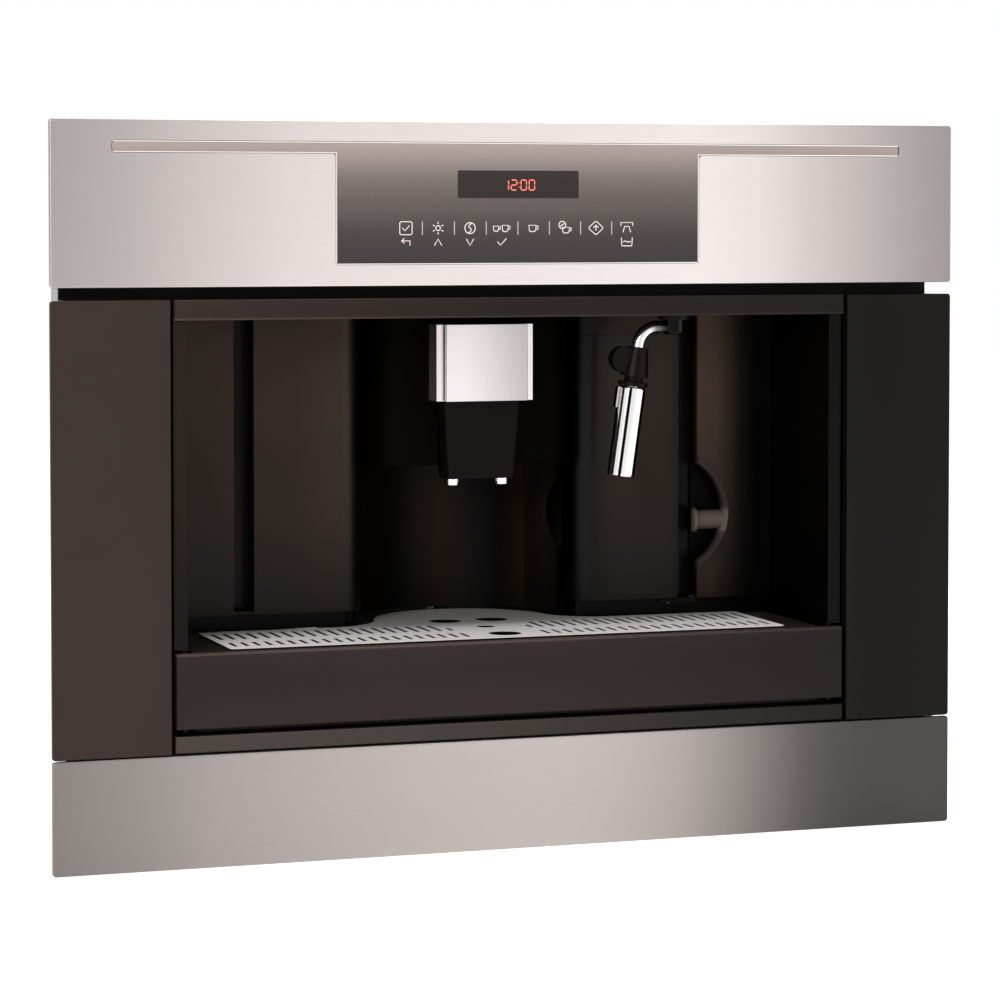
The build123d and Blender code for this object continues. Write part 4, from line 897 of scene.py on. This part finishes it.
# Painted light and shade in the niche: across it, a painted highlight on the door near X 158-176 and painted
# shade on the right wall; upward, darker low and lighter high; inward, painted shade from 76.5 to 99 mm deep
# and painted light beyond 105 mm.
NICHE_PAINTED_LIGHT_ACROSS = Fade(ACROSS, ((-213, 1.25), (-120, 1.0), (-92, 1.2), (0, 0.8), (78, 0.12), (86, 0.25),
                           (97, 0.66), (122, 0.8), (140, 0.82), (148, 0.5), (158, 2.2), (168, 2.1),
                           (176, 1.7), (187, 0.55), (198, 0.06), (213, 0.05)))
NICHE_PAINTED_LIGHT_UPWARD = Fade(UPRIGHT, ((128, 0.4), (154, 0.55), (194, 1.05), (253, 1.5), (309, 2.2), (331, 2.1)))
NICHE_PAINTED_DEPTH_SHADE_AND_LIGHT = Fade(INWARD, ((74.0, 1.0), (76.5, 1.0), (79.5, 0.25), (84.0, 0.06), (96.0, 0.03),
                            (99.0, 0.03), (105.0, 3.0), (116.0, 4.5), (130.0, 3.0)))
# Painted shade: the liner darker towards the niche floor.
LINER_PAINTED_SHADE_LOW = Fade(UPRIGHT, ((128, 0.28), (154, 0.3), (194, 0.5), (253, 0.75), (331, 0.75)))
# Painted highlights in streaks across the recess wall, and painted shade towards its bottom.
RECESS_PAINTED_HIGHLIGHTS = Fade(ACROSS, ((-70, 1.2), (-47, 1.7), (-31, 0.9), (-17, 1.0), (-3, 5.0), (9, 7.0),
                            (22, 4.0), (33, 0.7), (44, 0.5), (53, 5.0), (62, 6.0), (66, 2.0), (70, 0.3)))
RECESS_PAINTED_SHADE_LOW = Fade(UPRIGHT, ((128, 0.45), (150, 0.6), (190, 1.0), (235, 1.3)))
# Painted light and shade on the grip's insert: lighter at its front edge and dark deeper in, with a painted
# highlight band from 184.5 to 197 mm high.
INSERT_PAINTED_DEPTH_SHADE = Fade(INWARD, ((73.0, 1.9), (75.4, 1.9), (79.5, 1.0), (82.0, 0.05), (95.0, 0.02)))
INSERT_PAINTED_HIGHLIGHT_BAND = Fade(UPRIGHT, ((150.0, 0.42), (182.0, 0.42), (184.5, 1.2), (197.0, 1.2), (199.5, 0.42),
                             (240.0, 0.42)))
# Painted light: the grid lighter at the front and darker towards the back.
GRID_PAINTED_LIGHT = Fade(INWARD, ((-13, 1.0), (22, 1.0), (45, 0.85), (64, 0.45), (78, 0.34), (150, 0.3)))
# Painted shade: everything below the grid's top face, the slot walls and the front edge, near black.
GRID_PAINTED_SHADE_UNDER_TOP = Fade(UPRIGHT, ((128.3, 0.03), (129.35, 0.03), (129.5, 1.0), (129.7, 1.0)))
# Painted reflection: dark and light bands round the frother sleeve's chrome.
SLEEVE_PAINTED_REFLECTION = Fade(OVER_SLEEVE, ((30.0, 0.75), (32.3, 0.75), (32.7, 0.04), (34.6, 0.04), (35.0, 0.7),
                            (36.4, 0.7), (36.8, 1.0), (39.9, 1.0), (40.4, 0.03), (41.7, 0.03),
                            (42.2, 1.0), (56.0, 1.0)))
STEM_FADE = Fade(ACROSS, ((60.0, 1.0), (96.0, 1.0), (100.5, 0.3), (104.5, 0.1), (108.2, 0.02),
                          (122.0, 0.02)))

CONTROL_STEEL = BrushedSteel("control_steel", linear(228, 218, 215), 0.34, (STEEL_PAINTED_REFLECTION,))
KICK_STEEL = BrushedSteel("kick_steel", linear(184, 175, 171), 0.34, (KICK_PAINTED_REFLECTION,))
HOOD_STEEL = BrushedSteel("hood_steel", linear(232, 225, 224), 0.22, (HOOD_PAINTED_LIGHT,), Grain.UPRIGHT)
GRID_STEEL = BrushedSteel("grid_steel", linear(240, 233, 229), 0.45, (GRID_PAINTED_LIGHT, GRID_PAINTED_SHADE_UNDER_TOP),
                          metallic=0.05, gloss=0.1)
RAIL_STEEL = BrushedSteel("rail_steel", linear(178, 178, 180), 0.36, grain=Grain.INWARD)
GLASS = PrintedGlass("smoked_glass", linear(107, 97, 93), 0.04, (GLASS_PAINTED_REFLECTION,))
DISPLAY = PrintedGlass("display_window", linear(38, 30, 26), 0.05)
FASCIA = SatinTrim("fascia_plastic", linear(48, 38, 34), 0.32, (SIDE_PAINTED_LIGHT,))
TRIM = SatinTrim("trim_plastic", linear(44, 35, 31), 0.28, (BAR_PAINTED_LIGHT, BAR_PAINTED_EDGE_HIGHLIGHT))
LOWER_TRIM = SatinTrim("lower_trim_plastic", linear(64, 56, 52), 0.3, (SIDE_PAINTED_LIGHT,))
TRAY_TRIM = SatinTrim("tray_trim_plastic", linear(44, 35, 32), 0.28, (TRAY_PAINTED_LIGHT, TRAY_PAINTED_EDGE_HIGHLIGHT))
SPOUT_TRIM = SatinTrim("spout_plastic", linear(15, 9, 6), 0.4, coat=0.0, gloss=0.05)
NICHE = NicheWall("niche_plastic", linear(34, 25, 20), 0.34, (NICHE_PAINTED_LIGHT_ACROSS, NICHE_PAINTED_LIGHT_UPWARD, NICHE_PAINTED_DEPTH_SHADE_AND_LIGHT))
LINER = NicheWall("liner_plastic", linear(34, 25, 20), 0.34, (NICHE_PAINTED_LIGHT_ACROSS, LINER_PAINTED_SHADE_LOW), gloss=0.06)
# The recess wall's colour, far darker than the niche walls', is painted shade.
RECESS = Moulding("recess_plastic", linear(9, 5, 3), 0.42, (RECESS_PAINTED_HIGHLIGHTS, RECESS_PAINTED_SHADE_LOW))
HOUSING_BLACK = Moulding("housing_plastic", linear(3, 2, 1), 0.5, gloss=0.02)
INSERT = Moulding("insert_plastic", linear(66, 57, 54), 0.36, (INSERT_PAINTED_DEPTH_SHADE, INSERT_PAINTED_HIGHLIGHT_BAND))
TRAY_PLASTIC = Moulding("tray_plastic", linear(36, 29, 25), 0.5)
BLACK = Moulding("black_plastic", linear(14, 9, 7), 0.36, gloss=0.06)
DEEP_BLACK = Moulding("deep_black", linear(7, 4, 3), 0.5)
BLACK_COAT = Moulding("black_coated_steel", linear(10, 8, 7), 0.45, grain_size=1400.0,
                      grain_depth=0.00002, gloss=0.06)
CHASSIS = Moulding("chassis_plastic", linear(30, 28, 28), 0.5, grain_size=700.0,
                   grain_depth=0.00006, gloss=0.15)
WHITE = Moulding("white_plastic", linear(222, 220, 214), 0.42, grain_size=700.0, gloss=0.4)
RED = Moulding("float_red", linear(190, 44, 34), 0.4, grain_size=700.0, gloss=0.3)
RUBBER = Moulding("silicone", linear(205, 200, 190), 0.5, grain_size=500.0, grain_depth=0.00005,
                  gloss=0.3)
RIM = PolishedMetal("rim_line", linear(230, 222, 219), 0.35)
CHROME = PolishedMetal("chrome", linear(226, 222, 220), 0.1)
WAND_CHROME = PolishedMetal("wand_chrome", linear(226, 222, 220), 0.1, (STEM_FADE,))
SLEEVE_CHROME = PolishedMetal("sleeve_chrome", linear(236, 233, 231), 0.1, (SLEEVE_PAINTED_REFLECTION,))
HARD_STEEL = PolishedMetal("hard_steel", linear(150, 148, 146), 0.3)
MOTOR_STEEL = PolishedMetal("motor_steel", linear(168, 168, 166), 0.36)
MOTOR_BLACK = PolishedMetal("motor_black", linear(46, 45, 46), 0.42)
ZINC = ZincSheet("zinc_sheet", linear(160, 162, 164), 0.42)
CAST = CastMetal("boiler_aluminium", linear(168, 168, 168), 0.45)
CERAMIC = CastMetal("burr_ceramic", linear(232, 226, 214), 0.4, metallic=0.0)
CLEAR = ClearMoulding("tank_plastic", linear(150, 152, 156), 0.06)
SMOKED = ClearMoulding("smoked_plastic", linear(150, 140, 134), 0.08)
LENS = ClearMoulding("lamp_lens", linear(240, 238, 230), 0.35, clearness=0.6)
BOARD = CircuitBoard("board_green", linear(30, 84, 52))
# The printed marks' glow is painted light; only the clock below is really lit.
PRINT = GlowingMark("key_print", linear(190, 180, 175))
LINE_PRINT = GlowingMark("line_print", linear(160, 150, 146))
PALE_PRINT = GlowingMark("pale_print", linear(196, 196, 194))
AMBER = GlowingMark("clock_red", linear(214, 104, 88))

FINISHED_NODES: tuple[tuple[Finish, tuple[str, ...]], ...] = (
    (CONTROL_STEEL, ("control_panel",)),
    (GLASS, ("control_glass",)),
    (BOARD, ("display_module", "power_board")),
    (FASCIA, ("left_fascia", "right_fascia")),
    (TRIM, ("top_bar",)),
    (LOWER_TRIM, ("lower_bar",)),
    (KICK_STEEL, ("bottom_panel",)),
    (BLACK_COAT, ("front_subframe",)),
    (LINER, ("niche_liner",)),
    (NICHE, ("left_back_panel", "right_back_panel", "service_door")),
    (RECESS, ("recess_wall",)),
    (INSERT, ("pull_out_grip",)),
    (HOUSING_BLACK, ("spout_housing",)),
    (HOOD_STEEL, ("spout_hood",)),
    (SPOUT_TRIM, ("spout_block",)),
    (CHROME, ("spout_nozzles",)),
    (WAND_CHROME, ("steam_wand",)),
    (SLEEVE_CHROME, ("frother_sleeve",)),
    (LENS, ("cup_lamps",)),
    (TRAY_PLASTIC, ("drip_tray",)),
    (TRAY_TRIM, ("tray_front",)),
    (GRID_STEEL, ("drip_grid",)),
    (CHASSIS, ("lower_housing",)),
    (BLACK, ("brew_unit_frame", "brew_chamber", "ground_chute", "mains_inlet", "mains_switch",
             "wand_grip", "frother_collar", "grounds_container", "preground_lid", "grind_knob", "tank_lid")),
    (RED, ("tray_float",)),
    (WHITE, ("brew_piston",)),
    (RUBBER, ("hoses",)),
    (HARD_STEEL, ("brew_spindle",)),
    (MOTOR_STEEL, ("brew_motor", "pump")),
    (MOTOR_BLACK, ("grinder_motor",)),
    (CAST, ("grinder_housing", "boilers")),
    (CERAMIC, ("upper_burr", "lower_burr")),
    (SMOKED, ("bean_hopper", "hopper_lid")),
    (CLEAR, ("water_tank",)),
    (ZINC, ("base_pan", "left_side_panel", "right_side_panel", "rear_panel", "top_cover")),
    (RAIL_STEEL, ("slide_rails", "mid_rails", "fixed_rails")),
)


def dress_nodes() -> None:
    """Gives every CAD node its finish."""
    for finish, names in FINISHED_NODES:
        for name in names:
            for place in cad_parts[name].material_slots:
                place.material = finish.material()
            log.info("%s: %s", name, finish.name)


# ---- the control front ----

SYMBOLS: dict[str, tuple[Stroke, ...]] = {
    "settings": (Stroke(((-4, -3.2), (-3.2, -4), (3.2, -4), (4, -3.2), (4, 3.2), (3.2, 4), (-3.2, 4),
                         (-4, 3.2)), True),
                 Stroke(((-2.3, 0.2), (-0.6, -1.6), (2.3, 1.7)))),
    "light": (circle(1.5), *(ray(30 + 60 * i, 2.5, 3.9) for i in range(6))),
    "strength": (circle(3.4, steps=20),
                 Stroke(((-1.0, -3.0), (1.9, -1.0), (-1.9, 1.0), (1.0, 3.0)), curved=True)),
    "two_cups": (Stroke(((-5.6, 1.2), (-5.3, -1.4), (-4.6, -2.0), (-3.0, -2.0), (-2.3, -1.4),
                         (-2.0, 1.2)), True),
                 Stroke(((-2.1, 0.8), (-0.8, 0.7), (-1.0, -0.7), (-2.3, -0.8))),
                 Stroke(((0.2, 1.7), (0.5, -1.5), (1.3, -2.2), (3.1, -2.2), (3.9, -1.5), (4.2, 1.7)), True),
                 Stroke(((4.1, 1.2), (5.5, 1.1), (5.3, -0.7), (3.9, -0.8)))),
    "one_cup": (Stroke(((-3.0, 1.7), (-2.7, -1.5), (-1.9, -2.2), (0.7, -2.2), (1.5, -1.5), (1.8, 1.7)), True),
                Stroke(((1.7, 1.2), (3.2, 1.1), (3.0, -0.7), (1.5, -0.8)))),
    "ground_coffee": (Stroke(((-1.6, 0.4), (-1.2, -2.4), (-0.4, -3.1), (2.0, -3.1), (2.8, -2.4),
                              (3.2, 0.4)), True),
                      Stroke(((3.1, 0.0), (4.5, -0.2), (4.2, -1.7), (2.9, -1.9))),
                      circle(2.3, -1.6, 1.9), Stroke(((-3.0, 1.0), (-0.2, 2.9)))),
    "steam": (Stroke(((-0.5, 4.0), (0.5, 4.0), (4.5, 0.5), (4.5, -0.5), (0.5, -4.0), (-0.5, -4.0),
                      (-4.5, -0.5), (-4.5, 0.5)), True),
              Stroke(((-1.7, 0.2), (0, 1.7), (1.7, 0.2))), Stroke(((0, 1.5), (0, -1.7)))),
    "tray_out": (Stroke(((-4, 1.2), (-4, 3.4), (4, 3.4), (4, 1.2))),
                 Stroke(((-2.6, -2.8), (-1.5, 0.9), (1.5, 0.9), (2.6, -2.8)))),
}
SECOND_ROW_KEYS = (0, 1, 2, 3, 7)
SECOND_ROW: dict[str, tuple[Stroke, ...]] = {
    "back": (Stroke(((2.6, -2.0), (2.6, 0.9), (-2.8, 0.9))),
             Stroke(((-1.0, 2.5), (-2.9, 0.9), (-1.0, -0.7)))),
    "up": (Stroke(((-2.4, -2.0), (0, 2.0), (2.4, -2.0))),),
    "down": (Stroke(((-2.4, 2.0), (0, -2.0), (2.4, 2.0))),),
    "confirm": (Stroke(((-2.9, 0.2), (-0.9, -1.9), (3.0, 2.2))),),
    "water_level": (Stroke(((-3.7, 2.6), (-3.4, -2.3), (-3.0, -2.6), (3.0, -2.6), (3.4, -2.3),
                            (3.7, 2.6))),
                    Stroke(((-2.6, -0.1), (-1.0, 0.7), (0.9, -0.5), (2.6, 0.2)), curved=True)),
}
DIGIT_SEGMENTS = {"0": "abcdef", "1": "bc", "2": "abged", ":": ""}
SEGMENTS: dict[str, tuple[Flat, Flat]] = {
    "a": ((-1.5, 3.1), (1.5, 3.1)), "b": ((1.8, 2.8), (1.8, 0.3)), "c": ((1.8, -0.3), (1.8, -2.8)),
    "d": ((-1.5, -3.1), (1.5, -3.1)), "e": ((-1.8, -0.3), (-1.8, -2.8)), "f": ((-1.8, 2.8), (-1.8, 0.3)),
    "g": ((-1.5, 0.0), (1.5, 0.0))}


@dataclass
class ControlFront:
    """The touch glass: its thin rim, its display window and clock, its key symbols."""

    face: float = -22.0
    strip_half: float = 259.3
    strip_top: float = 439.5
    strip_bottom: float = 432.5
    glass_half: float = 119.7
    glass_bottom: float = 364.3
    rim_width: float = 0.6
    rim_depth: float = 0.5
    window_low: Point = (-41.2, -21.82, 405.2)
    window_high: Point = (38.5, -21.69, 422.3)
    clock: Flat = (-1.2, 413.4)
    clock_text: str = "12:00"
    clock_places: tuple[float, ...] = (-8.6, -3.2, 0.0, 3.2, 8.6)
    clock_height: float = 21.9
    clock_line: float = 0.8
    print_height: float = 21.83
    first_key_x: float = -74.9
    pitch: float = 20.83
    key_z: float = 386.6
    second_z: float = 377.9
    symbol_line: float = 0.65
    separator_half: float = 4.2
    separator_line: float = 0.6

    def rim(self) -> None:
        """The thin light line round the glass."""
        piece = Piece("glass_rim").sheet((-self.glass_half, self.face, self.strip_bottom),
                                         (self.glass_half, self.face, self.strip_top))
        reach = self.strip_half - self.glass_half
        piece.edges(lambda at, way: at.x < -self.glass_half + 0.1).pull(-reach, 0, 0)
        piece.edges(lambda at, way: at.x > self.glass_half - 0.1).pull(reach, 0, 0)
        piece.edges(lambda at, way: abs(at.x) < 1 and at.z < self.strip_bottom + 0.1)
        piece.pull(0, 0, self.glass_bottom - self.strip_bottom)
        piece.all().inset(self.rim_width)
        inner = self.rim_width + 0.05
        piece.faces(lambda at, way: self.strip_bottom + inner < at.z < self.strip_top - inner
                    or at.z < self.strip_bottom - 0.1 and abs(at.x) < self.glass_half - inner
                    and at.z > self.glass_bottom + inner)
        piece.delete().all().pull(0, self.rim_depth, 0)
        piece.done(RIM, "appliance", "chrome")

    def window(self) -> None:
        """The darker window that the clock shines through, with its softened border."""
        piece = Piece("display_window").block(self.window_low, self.window_high)
        piece.faces(lambda at, way: way.y < -0.9).inset(0.7).inset(0.15, -0.03)
        piece.edges(lambda at, way: abs(way.y) > 0.9).bevel(0.8, 3)
        piece.done(DISPLAY, "appliance", "display")

    def clock_digits(self) -> None:
        """Four seven-segment digits with their colon."""
        strokes = []
        for digit, x in zip(self.clock_text, self.clock_places):
            strokes += [Stroke(tuple((x + u, v) for u, v in SEGMENTS[key])) for key in DIGIT_SEGMENTS[digit]]
        strokes += [Stroke(((0.0, up - 0.25), (0.0, up + 0.25))) for up in (-1.3, 1.3)]
        digits = drawn("clock_digits", strokes, [self.clock], self.clock_height, self.clock_line, thick=0.08)
        digits.done(AMBER, "appliance", "display")

    def symbols(self) -> None:
        """The key symbols in their two rows, and the lines between the keys."""
        rows = ((range(len(SYMBOLS)), SYMBOLS, self.key_z), (SECOND_ROW_KEYS, SECOND_ROW, self.second_z))
        for keys, row, z in rows:
            for key, (name, strokes) in zip(keys, row.items()):
                place = (self.first_key_x + key * self.pitch, z)
                symbol = drawn("symbol_" + name, strokes, [place], self.print_height, self.symbol_line)
                symbol.done(PRINT, "appliance", "display")
        separator = Stroke(((0, -self.separator_half), (0, self.separator_half)))
        places = [(self.first_key_x + (i + 0.51) * self.pitch, self.key_z) for i in range(len(SYMBOLS) - 1)]
        lines = drawn("key_separators", [separator], places, self.print_height, self.separator_line)
        lines.done(LINE_PRINT, "appliance", "display")

    def build(self) -> None:
        """Builds and dresses every piece of the control front."""
        self.rim()
        self.window()
        self.clock_digits()
        self.symbols()


# ---- the casing's small fittings ----


@dataclass
class Fasteners:
    """Domed screws with a tapered recess, which hold the casing's sheets."""

    head: float = 3.4
    rise: float = 1.5
    rim_step: float = 0.9
    recess_depth: float = 0.9
    rear_y: float = 368.0
    top_z: float = 438.0
    rear_places: tuple[Flat, ...] = (
        (-205, 52), (-205, 240), (-205, 430), (0, 430), (0, 52), (215, 52), (215, 240), (215, 430))
    top_places: tuple[Flat, ...] = (
        (-215, 12), (0, 12), (215, 12), (-205, 300), (215, 356), (-80, 356))

    def screw(self, name: str) -> Piece:
        """One screw at the origin, its head along Z.

        Args:
            name: The piece's name.

        Returns:
            The piece, in edit mode.
        """
        piece = Piece(name).rod((0, 0, self.rise / 2), self.head, self.rise, sides=24)
        top = self.rise - 0.05
        piece.faces(lambda at, way: at.z > top).inset(self.rim_step)
        piece.edges(lambda at, way: at.z > top and at.to_2d().length > self.head - 0.3).bevel(0.7, 3)
        piece.faces(lambda at, way: at.z > top and way.z > 0.99).inset(1.0).pull(0, 0, -self.recess_depth)
        return piece.resize(ORIGIN, 0.7, 0.7, 1.0)

    def spread(self, name: str, places: Sequence[Point], side: Face) -> None:
        """Copies the screw to its places and joins them.

        Args:
            name: The joined piece's name.
            places: Each head's seat, in millimetres.
            side: The side that the heads look to, REAR or TOP.
        """
        first = self.screw(name)
        if side is Face.REAR:
            first.all()
            bpy.ops.transform.rotate(value=QUARTER_TURN, orient_axis="X", center_override=ORIGIN)
        heads = [first.copy(f"{name}_{i}", *place) for i, place in enumerate(places)]
        bpy.data.objects.remove(first.object, do_unlink=True)
        heads[0].join(heads[1:])
        heads[0].object.name = name
        heads[0].done(HARD_STEEL, "appliance", "hard_steel")

    def build(self) -> None:
        """Screws the rear panel and the top cover down."""
        self.spread("rear_screws", [(x, self.rear_y, z) for x, z in self.rear_places], Face.REAR)
        self.spread("top_screws", [(x, y, self.top_z) for x, y in self.top_places], Face.TOP)


@dataclass
class CasingMarks:
    """Generic marks: the mill knob's scale, the lids' symbols, the tank's levels, the switch's signs."""

    knob: Flat = (-48.0, 275.0)
    knob_rise: float = 10.9
    cover_z: float = 438.0
    lid_z: float = 441.4
    bean_lid: Flat = (60.0, 285.0)
    powder_lid: Flat = (112.0, 184.0)
    tank_x: float = 226.0
    tank_levels_at: tuple[Flat, ...] = ((232, 284), (232, 110))
    switch: Flat = (-95.0, 92.0)
    sign_step: float = 18.0
    rear_y: float = 368.0
    lift: float = 0.05

    def knob_scale(self) -> None:
        """Ticks round the mill knob, every second one shorter, and a pointer on the knob."""
        ticks = [ray(-45 + 22.5 * i, 17.5, 21.0 if i % 2 else 22.5) for i in range(13)]
        scale = drawn("knob_scale", ticks, [self.knob], self.cover_z + self.lift, 0.8, Face.TOP)
        scale.done(DEEP_BLACK, "appliance", "black_plastic")
        x, y = self.knob
        foot = self.cover_z + self.knob_rise
        pointer = Piece("knob_pointer").block((x - 0.8, y + 2.5, foot), (x + 0.8, y + 10.0, foot + 0.4))
        pointer.edges(lambda at, way: abs(way.z) > 0.9).bevel(0.7, 4)
        pointer.faces(lambda at, way: way.z > 0.9).inset(0.2, 0.1)
        pointer.done(PALE_PRINT, "grind_knob", "white_plastic")

    def lid_symbols(self) -> None:
        """A bean on the hopper's lid and a scoop on the powder lid."""
        turns = (math.radians(20 * i) for i in range(18))
        bean = (Stroke(tuple((9 * math.cos(a), 6 * math.sin(a)) for a in turns), True),
                Stroke(((-8, -2), (-3, 2.4), (3, -2.4), (8, 2)), curved=True))
        scoop = (Stroke(((-9, 3), (-7, -3), (0, -3), (2, 3)), True), Stroke(((2, 1.5), (11, 1.5))))
        lids = (("hopper_lid_bean", bean, self.bean_lid, "bean_lid"),
                ("powder_lid_scoop", scoop, self.powder_lid, "powder_lid"))
        for name, strokes, place, body in lids:
            symbol = drawn(name, strokes, [place], self.lid_z, 1.0, Face.TOP, 0.3)
            symbol.done(PALE_PRINT, body, "white_plastic")

    def tank_levels(self) -> None:
        """The tank's highest and lowest level lines."""
        lines = [Stroke(((-34, 0), (34, 0))), *(Stroke(((x, 3.5), (x, -3.5))) for x in (-34, 34))]
        levels = drawn("tank_level_lines", lines, self.tank_levels_at, self.tank_x + self.lift, 1.0,
                       Face.RIGHT)
        levels.done(PALE_PRINT, "tank", "white_plastic")

    def switch_signs(self) -> None:
        """On and off signs above and below the switch."""
        x, z = self.switch
        signs = (("switch_on_sign", Stroke(((0, -3), (0, 3))), z + self.sign_step),
                 ("switch_off_sign", circle(2.8, steps=20), z - self.sign_step))
        for name, stroke, up in signs:
            sign = drawn(name, [stroke], [(-x, up)], self.rear_y + self.lift, 0.9, Face.REAR)
            sign.done(DEEP_BLACK, "appliance", "black_plastic")

    def build(self) -> None:
        """Prints every mark."""
        self.knob_scale()
        self.lid_symbols()
        self.tank_levels()
        self.switch_signs()


@dataclass
class NicheBack:
    """The right back panel, its apron drawn down behind the tray so that no daylight shows there."""

    node: str = "right_back_panel"
    start_x: float = 164.0
    apron_y: float = 83.0
    apron_bottom: float = 128.8
    drop: float = 5.0

    def build(self) -> None:
        """Makes the panel again from its CAD shape and pulls part of the apron's foot down."""
        piece = Piece("right_back_panel_lipped")
        piece.object = bpy.data.objects.new(piece.name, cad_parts[self.node].data.copy())
        piece.object.data.name = piece.name
        bpy.context.scene.collection.objects.link(piece.object)
        piece.only()
        bpy.ops.mesh.customdata_custom_splitnormals_clear()
        bpy.ops.object.mode_set(mode="EDIT")
        piece.all()
        bpy.ops.mesh.remove_doubles(threshold=0.001 * MM)
        piece.cut((self.start_x, 0.0, 0.0), ACROSS)
        piece.faces(lambda at, way: way.z < -0.9 and abs(at.z - self.apron_bottom) < 0.1
                    and abs(at.y - self.apron_y) < 1.1 and at.x > self.start_x)
        piece.pull(0, 0, -self.drop)
        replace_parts(piece.done(NICHE, "appliance", "dark_plastic"), self.node)


def main() -> None:
    """Builds the scene in order, camera first."""
    logging.basicConfig(level=logging.INFO, format="%(name)s %(message)s")
    Studio().build()
    dress_nodes()
    ControlFront().build()
    Fasteners().build()
    CasingMarks().build()
    NicheBack().build()


if __name__ == "__main__":
    main()
